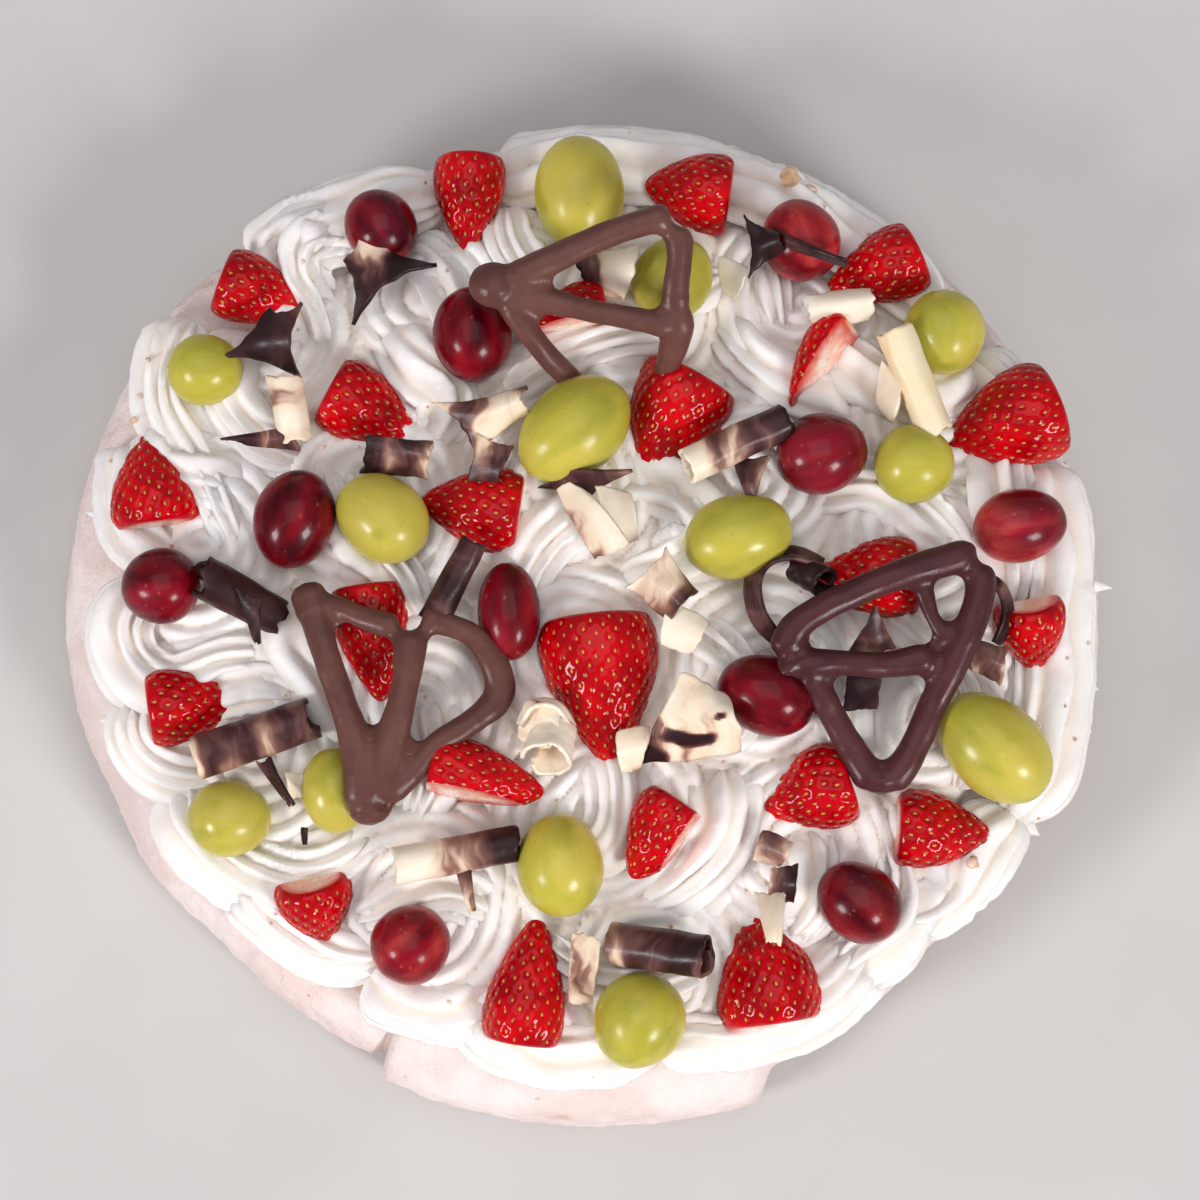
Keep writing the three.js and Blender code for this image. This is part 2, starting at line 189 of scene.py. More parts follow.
def seat(verts, x, y, sunk):
    """Move the vertices over a point of the cake, their lowest one sunk below the crests."""
    low, high = low_high(verts)
    middle = spot(x, y, 0)
    shift = Vector((
        middle.x - (low.x + high.x) / 2,
        middle.y - (low.y + high.y) / 2,
        (crest(x, y) - sunk) * MM - low.z,
    ))
    for v in verts:
        v.co += shift


# ---------------------------------------------------------------- material helpers

def colour(text):
    """A linear colour with alpha from a hex text."""
    parts = [int(text[i:i + 2], 16) / 255 for i in (1, 3, 5)]
    return (*[p / 12.92 if p <= 0.04045 else ((p + 0.055) / 1.055) ** 2.4 for p in parts], 1)


def socket_in(node, key, value):
    """Give a socket a link, a colour as hex text, or a plain value."""
    socket = node.inputs[key]
    if isinstance(value, bpy.types.NodeSocket):
        node.id_data.links.new(value, socket)
    elif isinstance(value, str):
        socket.default_value = colour(value)
    else:
        socket.default_value = value


def make_node(tree, kind, settings=(), *values, **inputs):
    """A node with its settings, then its sockets' values in order and by name."""
    node = tree.nodes.new(kind)
    for key, value in dict(settings).items():
        setattr(node, key, value)
    for place, value in enumerate(values):
        socket_in(node, place, value)
    for key, value in inputs.items():
        socket_in(node, key.replace("_", " "), value)
    return node


def calculate(tree, operation, *values):
    return make_node(tree, "ShaderNodeMath", {"operation": operation}, *values).outputs[0]


def mix_colours(tree, share, first, second):
    node = make_node(tree, "ShaderNodeMix", {"data_type": "RGBA"}, share)
    # Sockets 6 and 7 of the mix are its two colours, output 2 its colour.
    socket_in(node, 6, first)
    socket_in(node, 7, second)
    return node.outputs[2]


def soft_range(tree, value, low, high, start=0.0, end=1.0):
    """From start to end with eased ends, as the value goes from low to high."""
    return make_node(tree, "ShaderNodeMapRange", {"interpolation_type": "SMOOTHSTEP"}, value,
                     From_Min=low, From_Max=high, To_Min=start, To_Max=end).outputs[0]


def make_group(name, inputs, outputs):
    """A node group with the outputs of its input node and its output node."""
    group = bpy.data.node_groups.new(name, "ShaderNodeTree")
    for label, kind, default in inputs:
        made = group.interface.new_socket(label, in_out="INPUT", socket_type=kind)
        if default is not None:
            made.default_value = default
    for label, kind in outputs:
        group.interface.new_socket(label, in_out="OUTPUT", socket_type=kind)
    given = group.nodes.new("NodeGroupInput").outputs
    return group, given, group.nodes.new("NodeGroupOutput")


FLOAT = "NodeSocketFloat"
COLOUR = "NodeSocketColor"
VECTOR = "NodeSocketVector"


def make_mottle():
    """Two colours in clouds, with harder edges between them where the sharpness is higher."""
    group, given, result = make_group(
        "mottle",
        [("Vector", VECTOR, None), ("Scale", FLOAT, 200.0), ("Sharpness", FLOAT, 0.5),
         ("First", COLOUR, None), ("Second", COLOUR, None)],
        [("Colour", COLOUR), ("Mask", FLOAT)],
    )
    clouds = make_node(group, "ShaderNodeTexNoise", Vector=given["Vector"], Scale=given["Scale"],
                       Detail=3.0, Roughness=0.6)
    near = calculate(group, "MULTIPLY_ADD", given["Sharpness"], -0.4, 0.5)
    far = calculate(group, "SUBTRACT", 1.0, near)
    mask = soft_range(group, clouds.outputs["Fac"], near, far)
    socket_in(result, "Colour", mix_colours(group, mask, given["First"], given["Second"]))
    socket_in(result, "Mask", mask)
    return group


def make_relief():
    """Coarse and fine bumps, with a value for uneven gloss."""
    group, given, result = make_group(
        "relief",
        [("Vector", VECTOR, None), ("Coarse", FLOAT, 300.0), ("Fine", FLOAT, 1500.0),
         ("Strength", FLOAT, 0.2), ("Depth", FLOAT, 0.0005),
         ("Gloss low", FLOAT, 0.3), ("Gloss high", FLOAT, 0.5)],
        [("Normal", VECTOR), ("Roughness", FLOAT)],
    )
    coarse = make_node(group, "ShaderNodeTexNoise", Vector=given["Vector"], Scale=given["Coarse"],
                       Detail=2.0, Roughness=0.55).outputs["Fac"]
    fine = make_node(group, "ShaderNodeTexNoise", Vector=given["Vector"], Scale=given["Fine"],
                     Detail=1.0, Roughness=0.6).outputs["Fac"]
    both = calculate(group, "MULTIPLY_ADD", fine, 0.35, coarse)
    bump = make_node(group, "ShaderNodeBump", Strength=given["Strength"],
                     Distance=given["Depth"], Height=both)
    gloss = make_node(group, "ShaderNodeMapRange", Value=coarse, From_Min=0.3, From_Max=0.7,
                      To_Min=given["Gloss low"], To_Max=given["Gloss high"])
    socket_in(result, "Normal", bump.outputs[0])
    socket_in(result, "Roughness", gloss.outputs[0])
    return group


MOTTLE = make_mottle()
RELIEF = make_relief()


class Finish:
    """A material with its shader, its pattern coordinates and the two shared effects."""

    def __init__(self, name, attribute=None, **shader):
        self.material = bpy.data.materials.new(name)
        self.material.use_nodes = True
        self.tree = self.material.node_tree
        self.shader = self.tree.nodes["Principled BSDF"]
        for key, value in shader.items():
            socket_in(self.shader, key.replace("_", " "), value)
        if attribute:
            source = self.node("ShaderNodeAttribute", {"attribute_name": attribute})
            self.place = source.outputs["Vector"]
        else:
            self.place = self.node("ShaderNodeTexCoord").outputs["Object"]

    def node(self, kind, settings=(), *values, **inputs):
        return make_node(self.tree, kind, settings, *values, **inputs)

    def clouds(self, scale, sharpness, place=None, **colours):
        return self.node("ShaderNodeGroup", {"node_tree": MOTTLE}, Scale=scale,
                         Sharpness=sharpness, Vector=place or self.place, **colours).outputs

    def mottle(self, first, second, scale, sharpness, place=None):
        return self.clouds(scale, sharpness, place, First=first, Second=second)["Colour"]

    def mask(self, scale, sharpness):
        return self.clouds(scale, sharpness)["Mask"]

    def relief(self, coarse, fine, strength, depth, low, high):
        made = self.node("ShaderNodeGroup", {"node_tree": RELIEF}, Coarse=coarse, Fine=fine,
                         Strength=strength, Depth=depth, Gloss_low=low, Gloss_high=high,
                         Vector=self.place)
        socket_in(self.shader, "Normal", made.outputs["Normal"])
        socket_in(self.shader, "Roughness", made.outputs["Roughness"])

    def mix(self, share, first, second):
        return mix_colours(self.tree, share, first, second)

    def ramp(self, value, low, high, start=0.0, end=1.0):
        return soft_range(self.tree, value, low, high, start, end)

    def attribute(self, name):
        return self.node("ShaderNodeAttribute", {"attribute_name": name}).outputs["Fac"]

    def stretched(self, place, *scale):
        return self.node("ShaderNodeMapping", Vector=place, Scale=scale).outputs[0]

    def base(self, value):
        socket_in(self.shader, "Base Color", value)

    def grape_marks(self, skin, scale, near, far, strength, dot, scar):
        """Fine dots over a grape's skin, and the scar where its stem was."""
        specks = self.node("ShaderNodeTexVoronoi", {"feature": "F1"}, Scale=scale,
                           Vector=self.place)
        dots = self.ramp(specks.outputs["Distance"], near, far, strength, 0.0)
        dotted = self.mix(dots, skin, dot)
        self.base(self.mix(self.ramp(self.attribute("scar"), 0.2, 0.8), dotted, scar))


def make_meringue_finish():
    f = Finish("meringue", Specular_IOR_Level=0.3)
    body = f.mottle("#f1e3df", "#e6d1cc", 45.0, 0.3)
    sugar = f.mask(900.0, 0.9)
    # Browned patches at random, and painted shade along the crack.
    toasted_and_crack_shaded = f.mix(f.ramp(f.attribute("toast_and_crack_shade"), 0.0, 1.0), body, "#b98a63")
    f.base(f.mix(f.ramp(sugar, 0.6, 1.0, 0.0, 0.5), toasted_and_crack_shaded, "#f8f0ea"))
    f.relief(350.0, 1800.0, 0.75, 0.0009, 0.62, 0.88)
    return f.material


def make_crumb_finish():
    f = Finish("baked_crumb", Specular_IOR_Level=0.25)
    f.base(f.mottle("#f5e6da", "#cf9f74", 160.0, 0.4))
    f.relief(900.0, 3000.0, 0.6, 0.0003, 0.6, 0.85)
    return f.material


def make_cream_finish():
    f = Finish("cream", Subsurface_Weight=0.28, Subsurface_Scale=0.004,
               Subsurface_Radius=(1, 0.88, 0.8), Specular_IOR_Level=0.45)
    crests = f.mottle("#fbf8f5", "#f6f0eb", 60.0, 0.3)
    # Painted shade: the cream is darkened to a warm tan in the valleys between ridges and in the mound's
    # grooves and seams.
    f.base(f.mix(f.ramp(f.attribute("valley_shade"), 0.35, 1.0, 0.0, 0.6), crests, "#ecdccb"))
    f.relief(420.0, 2200.0, 0.4, 0.0005, 0.34, 0.56)
    return f.material


def make_strawberry_finish():
    f = Finish("strawberry_skin", "grown", Specular_IOR_Level=0.05, Coat_Weight=0.4,
               Coat_Roughness=0.05)
    skin = f.mottle("#cc0010", "#a0000c", 130.0, 0.4)
    # Painted shade: the skin is darker red in the pit around each seed.
    pit = f.mix(f.ramp(f.attribute("pit"), 0.4, 1.0, 0.0, 0.8), skin, "#780008")
    f.base(f.mix(f.ramp(f.attribute("stalk"), 0.6, 1.0, 0.0, 0.35), pit, "#d8331c"))
    f.relief(500.0, 2600.0, 0.22, 0.0003, 0.12, 0.26)
    return f.material


def make_flesh_finish():
    f = Finish("strawberry_flesh", "grown", Subsurface_Weight=0.3, Subsurface_Scale=0.003,
               Subsurface_Radius=(1, 0.4, 0.3), Specular_IOR_Level=0.6, Coat_Weight=0.3)
    inside = f.mottle("#f6b497", "#fbe6da", 150.0, 0.2)
    f.base(f.mix(f.ramp(f.attribute("core"), 0.0, 0.7), "#d9260f", inside))
    f.relief(700.0, 2600.0, 0.25, 0.0005, 0.2, 0.4)
    return f.material


def make_seed_finish():
    f = Finish("strawberry_seed", Specular_IOR_Level=0.6, Coat_Weight=0.3)
    f.base(f.mottle("#e29c30", "#a5551a", 260.0, 0.8))
    f.relief(1500.0, 4000.0, 0.2, 0.0001, 0.25, 0.45)
    return f.material


def make_green_grape_finish():
    f = Finish("green_grape", "grown", Subsurface_Weight=0.5, Subsurface_Scale=0.006,
               Subsurface_Radius=(1, 1, 0.6), Specular_IOR_Level=0.3, Coat_Weight=0.12,
               Coat_Roughness=0.12)
    skin = f.mottle("#c3b846", "#a7a23a", 110.0, 0.5, f.stretched(f.place, 0.35, 1, 1))
    sunny = f.mix(f.ramp(f.mask(40.0, 0.2), 0.3, 0.9, 0.0, 0.45), skin, "#d6c25c")
    f.grape_marks(sunny, 420.0, 0.05, 0.16, 0.35, "#7d7a2c", "#6b4426")
    f.relief(180.0, 1200.0, 0.16, 0.0004, 0.22, 0.4)
    return f.material


def make_red_grape_finish():
    f = Finish("red_grape", "grown", Specular_IOR_Level=0.16, Coat_Weight=0.14,
               Coat_Roughness=0.1)
    streaks = f.stretched(f.place, 0.22, 1, 1)
    skin = f.mottle("#380009", "#8c0a1c", 170.0, 0.6, streaks)
    blush = f.mottle("#ae1026", "#d4544a", 260.0, 0.5, streaks)
    flush = f.mix(f.ramp(f.attribute("flush"), 0.05, 1.0), skin, blush)
    bloom = f.mix(f.ramp(f.mask(70.0, 0.3), 0.5, 1.0, 0.0, 0.1), flush, "#8c3a54")
    f.grape_marks(bloom, 380.0, 0.06, 0.18, 0.3, "#c4705c", "#8a8450")
    f.relief(180.0, 1200.0, 0.14, 0.0004, 0.18, 0.34)
    return f.material


def make_chocolate_finish(name, first, second, low, high):
    f = Finish(name, Specular_IOR_Level=0.22, Coat_Weight=0.06, Coat_Roughness=0.2)
    f.base(f.mottle(first, second, 90.0, 0.5))
    f.relief(160.0, 1400.0, 0.25, 0.0005, low, high)
    return f.material


# Shades of marbled chocolate from the dark to the white
MARBLE = [
    (0.15, "#2a1416"), (0.3, "#472728"), (0.42, "#6e4a45"), (0.5, "#98705f"), (0.57, "#d6b7a0"),
    (0.66, "#eed9be"), (0.9, "#f7ebd6"),
]


def make_marbled_finish():
    """Swirled light and dark chocolate that follows the rolled sheet, paler where "pale" is high."""
    f = Finish("marbled_chocolate", "sheet", Specular_IOR_Level=0.25, Coat_Weight=0.05)
    warp = f.node("ShaderNodeTexNoise", Vector=f.place, Scale=80.0, Detail=2.0)
    shifted = f.node("ShaderNodeVectorMath", {"operation": "MULTIPLY_ADD"},
                     warp.outputs["Color"], (0.012, 0.012, 0.0), f.place).outputs[0]
    swirl = f.node("ShaderNodeTexNoise", Vector=f.stretched(shifted, 1.3, 0.32, 1), Scale=110.0,
                   Detail=3.0, Roughness=0.5)
    led = calculate(f.tree, "MULTIPLY_ADD", swirl.outputs["Fac"], 1.4, -0.7)
    total = calculate(f.tree, "ADD", led, f.attribute("pale"))
    ramp = f.node("ShaderNodeValToRGB", Fac=total)
    marks = ramp.color_ramp.elements
    marks[0].position, marks[0].color = MARBLE[0][0], colour(MARBLE[0][1])
    marks[1].position, marks[1].color = MARBLE[-1][0], colour(MARBLE[-1][1])
    for position, shade in MARBLE[1:-1]:
        marks.new(position).color = colour(shade)
    f.base(ramp.outputs["Color"])
    f.relief(500.0, 2500.0, 0.3, 0.0003, 0.3, 0.48)
    return f.material


meringue_finish = make_meringue_finish()
cream_finish = make_cream_finish()
strawberry_finish = make_strawberry_finish()
flesh_finish = make_flesh_finish()
seed_finish = make_seed_finish()
green_grape_finish = make_green_grape_finish()
red_grape_finish = make_red_grape_finish()
milk_finish = make_chocolate_finish("milk_chocolate", "#5c3833", "#6b443d", 0.28, 0.42)
dark_finish = make_chocolate_finish("dark_chocolate", "#462226", "#542c2e", 0.26, 0.4)
shard_finish = make_chocolate_finish("dark_shard", "#2b1416", "#472827", 0.3, 0.5)
crumb_finish = make_crumb_finish()
white_finish = make_chocolate_finish("white_chocolate", "#f0d9a8", "#f6e6c6", 0.35, 0.55)
marbled_finish = make_marbled_finish()


# ---------------------------------------------------------------- cream

ROPE_RADIUS = 10
# Piped ropes: share of the radius, lift over the crest line, then the middle line
ROPES = [
    (1, 0, (-52, 84), (-63, 80), (-66, 73), (-63, 63), (-58, 53)),
    (1, -1, (-88, 64), (-92, 50), (-90, 39), (-82, 24), (-75, 11)),
    (0.85, 1, (-75, 61), (-78, 48), (-71, 37), (-62, 32)),
    (0.8, -1, (-101, 36), (-102, 24), (-98, 15), (-90, 10)),
    (1, 0, (-96, 5), (-101, -4), (-99, -12), (-91, -16), (-80, -13), (-66, -12)),
    (1, -1, (-98, -19), (-97, -28), (-90, -34), (-78, -36)),
    (0.8, 1, (-84, -22), (-72, -19), (-62, -20)),
    (1, 1, (-62, 4), (-64, -8), (-60, -20), (-52, -31)),
    (1.1, 0, (-87, -38), (-85, -47), (-76, -56), (-64, -58), (-52, -54), (-45, -47)),
    (0.9, -2, (-76, -58), (-69, -66), (-58, -73), (-44, -75)),
    (0.9, -1, (-49, -79), (-40, -84), (-29, -86), (-18, -84)),
    (1, -2, (-28, -86), (-18, -92), (-6, -95), (6, -93), (14, -87)),
    (1.1, -1, (12, -90), (32, -89), (48, -83), (62, -71)),
    (1, 0, (64, -41), (68, -52), (67, -62), (61, -72), (51, -80)),
    (0.8, 1, (45, -48), (46, -57), (44, -65), (40, -72)),
    (1.2, 1, (28, -34), (28, -46), (22, -56), (9, -64)),
    (0.9, 1, (3, -30), (5, -40), (2, -50), (-8, -56)),
    (1.05, -1, (96, 32), (99, 16), (99, -2), (99, -18), (96, -33), (89, -46)),
    (1, 0, (84, 38), (87, 24), (88, 10), (87, -3)),
    (1, 0, (45, 25), (62, 25), (74, 16), (79, 4)),
    (1, 0, (-20, -2), (-14, 10), (-5, 18), (8, 22)),
    (1, 0, (2, 27), (16, 26), (24, 17), (16, 7), (4, 4)),
    (1, 1, (20, -4), (28, -14), (29, -24), (22, -32)),
    (1, 0, (-20, 46), (-6, 54), (12, 59), (26, 58)),
    (1, 0, (26, 62), (36, 52), (46, 44), (58, 40)),
    (1, -2, (-22, 94), (0, 97), (23, 94), (42, 87), (60, 76), (75, 62)),
    (0.9, 0, (36, 76), (38, 66), (40, 58)),
    (0.9, 0, (-20, 88), (-17, 77), (-10, 66)),
    (0.9, -1, (-75, 75), (-61, 84), (-46, 88), (-32, 91)),
    (0.9, 1, (-44, 62), (-38, 52), (-32, 44), (-34, 34)),
    (0.9, 1, (-58, 30), (-52, 18), (-44, 8), (-36, -4)),
    (0.9, 1, (-36, -20), (-34, -34), (-38, -48)),
    (0.9, 0, (84, 52), (70, 46), (58, 50), (48, 60)),
    (0.95, -1, (81, 55), (89, 44), (93, 34)),
    (0.9, 0, (62, -2), (74, -12), (80, -26), (78, -40)),
    (0.9, 0, (40, -2), (48, -12), (54, -24), (54, -38)),
    (0.9, -1, (90, -43), (82, -55), (73, -63), (62, -66)),
    (0.85, 0, (-20, -66), (-30, -62), (-42, -64), (-54, -68)),
    (0.9, 0, (-12, -70), (-2, -78), (12, -80), (26, -76)),
    (0.9, 0, (-98, 40), (-92, 32), (-84, 30), (-74, 26)),
    (0.85, 0, (-42, 78), (-34, 72), (-30, 62), (-22, 54)),
    (0.8, 0, (0, 78), (6, 70), (18, 68), (30, 72)),
]
RIDGES = 8
RIDGE_POINTS = 8
BOTTOM_POINTS = 8
RIDGE_DEPTH = 2.9
RIDGE_RISE = 0.74
# Degrees of a rope's round that have ridges
OPEN_ARC = 250
ROPE_STEP = 1.5
ROPE_FLATNESS = 0.85
# Lengths of a rope's round ends as shares of its radius, and how far its ends dip
START_ROUND = 0.7
END_ROUND = 1.3
START_DIP = 1.5
END_DIP = 1


def ridge_height(within):
    """A ridge's height from 0 to 1 across it: a long rise, then a short drop past its lip."""
    if within < RIDGE_RISE:
        return eased(within / RIDGE_RISE) ** 0.8
    return eased((1 - within) / (1 - RIDGE_RISE)) ** 0.8


def pipe_rope(bm, seed, share, lift, *line):
    """A rope of cream with ridges over its top, torn a little along their lips."""
    radius = ROPE_RADIUS * share
    points = [Vector((x, y, crest(x, y) + lift - radius * ROPE_FLATNESS)) for x, y in line]
    points[0].z -= START_DIP
    points[-1].z -= END_DIP
    length = path_length(points)
    steps = max(8, round(length / ROPE_STEP))
    path = smooth_path(points, steps)
    ridged = RIDGES * RIDGE_POINTS
    first_angle = -(OPEN_ARC - 180) / 2
    grid = grid_steps(bm, steps, ridged + BOTTOM_POINTS)
    valley_shade = bm.verts.layers.float["valley_shade"]
    upright = Vector((0, 0, 1))
    for v, i, j in grid:
        run = length * i / steps
        side = upright.cross(way_along(path, i)).normalized()
        start = min(run / (radius * START_ROUND), 1)
        end = clamped((length - run) / (radius * END_ROUND))
        swell = math.sqrt(1 - (1 - start) ** 2) * math.sqrt(1 - (1 - end) ** 2)
        if i in (0, steps):
            swell = 0
        if j <= ridged:
            u = j / ridged
            angle = math.radians(u * OPEN_ARC + first_angle)
            drift = 0.9 * ripple(run / 20, seed * 3.7, 0) * math.sin(math.pi * u)
            uneven = 0.5 * math.sin(math.tau * u * 1.5 + seed * 1.7) * math.sin(math.pi * u)
            within = (u * RIDGES + drift + uneven) % 1
            deep = 1 - ridge_height(within if seed % 2 else 1 - within)
        else:
            u = (j - ridged) / BOTTOM_POINTS
            deep = 1.0
            angle = math.radians(OPEN_ARC + first_angle + u * (360 - OPEN_ARC))
        lump = ripple(run / 8, j / 16, seed * 1.9)
        tear = ripple(run / 1.7, j / 5, seed * 2.3)
        torn = 0.22 + 2.2 * max(0, ripple(run / 15, j / 30, seed * 4.1) - 0.06)
        depth = 0.95 + 1.1 * ripple(run / 14, j / 24, seed + 0.5)
        groove = RIDGE_DEPTH * share * max(0.2, depth)
        reach = radius - groove * deep + 0.9 * lump + torn * tear * (1.1 - deep)
        way = side * -math.cos(angle) + upright * math.sin(angle) * ROPE_FLATNESS
        v.co = spot(*(path[i] + way * reach * swell))
        # Depth into a valley, kept for the cream's painted shade.
        v[valley_shade] = deep


# Points that the cream was pulled out to: foot, tip and width at the foot
PEAKS = [
    ((101, 6.3, 23), (113.2, 4.3, 29), 8), ((99, -14, 20), (110.4, -17.6, 25), 12),
    ((98, -24, 20), (108.8, -27, 25), 11), ((88, -43, 20), (97.2, -49.5, 25), 11),
    ((-99, 18.5, 22), (-111.2, 21.2, 26), 10), ((-100, -4.5, 22), (-111.4, -6.8, 26), 10),
    ((-98, -22.5, 22), (-107.8, -24.6, 26), 10), ((71, 63, 23), (79, 70.5, 27), 9),
    ((-59, 79, 31), (-65.5, 86.5, 32), 8), ((37, 82, 23), (42.6, 91.6, 28), 10),
]
PEAK_STEPS = 12
PEAK_AROUND = 14


def pull_peak(bm, seed, foot, tip, width):
    """A soft horn of cream that bends over at its tip."""
    foot, tip = Vector(foot), Vector(tip)
    bend = (foot + tip) / 2 + Vector((0, 0, 0.12 * (tip - foot).length))
    path = smooth_path([foot, bend, tip], PEAK_STEPS)
    tangent = (tip - foot).normalized()
    side = tangent.orthogonal().normalized()
    other = tangent.cross(side)
    for v, i, j in grid_steps(bm, PEAK_STEPS, PEAK_AROUND):
        angle = math.tau * j / PEAK_AROUND
        uneven = 1 + 0.25 * ripple(i / 4, math.cos(angle), math.sin(angle) + seed)
        reach = width / 2 * (1 - (i / PEAK_STEPS) ** 1.6) ** 1.1 * uneven
        v.co = spot(*(path[i] + (side * math.cos(angle) + other * math.sin(angle)) * reach))


# Middles of the swirls that the spreading left in the mound between the ropes
SWIRLS = [
    (-70, 60), (-35, 68), (8, 66), (45, 66), (78, 40), (-85, 14), (-48, 22), (-8, 26), (34, 28),
    (72, 14), (-72, -30), (-38, -22), (-4, -10), (36, -14), (74, -26), (-40, -62), (2, -48),
    (44, -52), (12, -80), (-10, 92),
]
MOUND_STEPS = 230
MOUND_BELOW = 2.6
MOUND_SHARE = 0.93
SWIRL_PITCH = 4.2
SWIRL_DEPTH = 1.9
SEAM_DEPTH = 1.8
SEAM_WIDTH = 7
# How far the edge of the mound drops, and where the drop starts
MOUND_EDGE = 17
EDGE_START = 0.9
MOUND_FOOT = 4


def make_mound():
    """The spread cream under the ropes, with spiral grooves around each swirl's middle."""
    bm = bmesh.new()
    valley_shade = bm.verts.layers.float.new("valley_shade")
    bmesh.ops.create_grid(bm, x_segments=MOUND_STEPS, y_segments=MOUND_STEPS, size=1)
    for v in bm.verts:
        x = v.co.x * math.sqrt(1 - v.co.y ** 2 / 2)
        y = v.co.y * math.sqrt(1 - v.co.x ** 2 / 2)
        out = math.hypot(x, y)
        turn = math.degrees(math.atan2(y, x))
        reach = MOUND_SHARE * CREAM_RADIUS * outline_radius(turn) / MERINGUE_RADIUS
        x, y = x * reach, y * reach
        near = sorted((math.hypot(x - a, y - b), k) for k, (a, b) in enumerate(SWIRLS))
        far, k = near[0]
        a, b = SWIRLS[k]
        wobble = 1.6 * ripple(x / 14, y / 14, 3.1)
        spiral = math.atan2(y - b, x - a) / math.tau
        deep = 1 - abs(math.sin(math.pi * ((far + wobble) / SWIRL_PITCH + spiral)))
        seam = max(0, 1 - (near[1][0] - far) / SEAM_WIDTH)
        lump = ripple(x / 11, y / 11, 9.2)
        rough = ripple(x / 2.4, y / 2.4, 5.5)
        height = crest(x, y) - MOUND_BELOW + 1.3 * lump + 0.3 * rough
        height -= SWIRL_DEPTH * deep ** 1.25 + SEAM_DEPTH * seam
        height -= MOUND_EDGE * max(0, (out - EDGE_START) / (1 - EDGE_START)) ** 2.2
        v.co = spot(x, y, height)
        # Depth into a groove or seam, kept for the cream's painted shade.
        v[valley_shade] = max(deep, seam)
    rim = [e for e in bm.edges if e.is_boundary]
    skirt = bmesh.ops.extrude_edge_only(bm, edges=rim)["geom"]
    for v in skirt:
        if isinstance(v, bmesh.types.BMVert):
            v.co.z = (MERINGUE_TOP - MOUND_FOOT) * MM
    bottom = [e for e in bm.edges if e.is_boundary]
    bmesh.ops.holes_fill(bm, edges=bottom, sides=0)
    return declare(new_piece("cream_mound", bm, [cream_finish], recalc=True), "cream", "cream")


def make_ropes():
    bm = bmesh.new()
    bm.verts.layers.float.new("valley_shade")
    for seed, rope in enumerate(ROPES):
        pipe_rope(bm, seed, *rope)
    for seed, peak in enumerate(PEAKS):
        pull_peak(bm, seed, *peak)
    bmesh.ops.remove_doubles(bm, verts=bm.verts, dist=SAME_PLACE)
    return declare(new_piece("cream_ropes", bm, [cream_finish], recalc=True), "cream", "cream")


# ---------------------------------------------------------------- meringue

MERINGUE_RADIUS = 113.5
MERINGUE_TOP = 24
# Angle in degrees, radius as a share of the whole
MERINGUE_OUTLINE = [
    (0, 0.99), (20, 0.98), (40, 0.965), (60, 0.95), (80, 0.955), (100, 0.93), (115, 0.94),
    (130, 0.985), (146, 1.02), (165, 1.03), (185, 1.03), (205, 1.0), (225, 0.965), (243, 0.96),
    (246, 0.995), (266, 0.995), (288, 1.0), (292, 0.945), (318, 0.92), (335, 0.95), (350, 0.98),
    (360, 0.99),
]
# Height and inset from the outline, from the underside up and in over the top
MERINGUE_SIDE = [
    (0, 20), (0, 5.5), (1, 2.6), (3, 1), (6, 0.2), (9, 0), (12, 0.4), (15, 1.2), (18, 2.4),
    (20.5, 4.2), (22.3, 6.6), (23.4, 9.2), (24, 12.5), (24.2, 18), (24.2, 26), (24, 40),
]
MERINGUE_SECTORS = 540
MERINGUE_ROWS = 44
# Direction of the crack, half its width in degrees, how far in it reaches, its depth and drop
CRACK_ANGLE = 244.5
CRACK_HALF = 0.9
CRACK_REACH = 34
CRACK_DEPTH = 5.5
CRACK_DROP = 2.2
# Height above which the wall is uneven; the underside below it stays flat
FLAT_FOOT = 4


def outline_radius(turn):
    turn %= 360
    for (a, low), (b, high) in zip(MERINGUE_OUTLINE, MERINGUE_OUTLINE[1:]):
        if a <= turn <= b:
            return MERINGUE_RADIUS * (low + (high - low) * eased((turn - a) / (b - a)))
    return MERINGUE_RADIUS


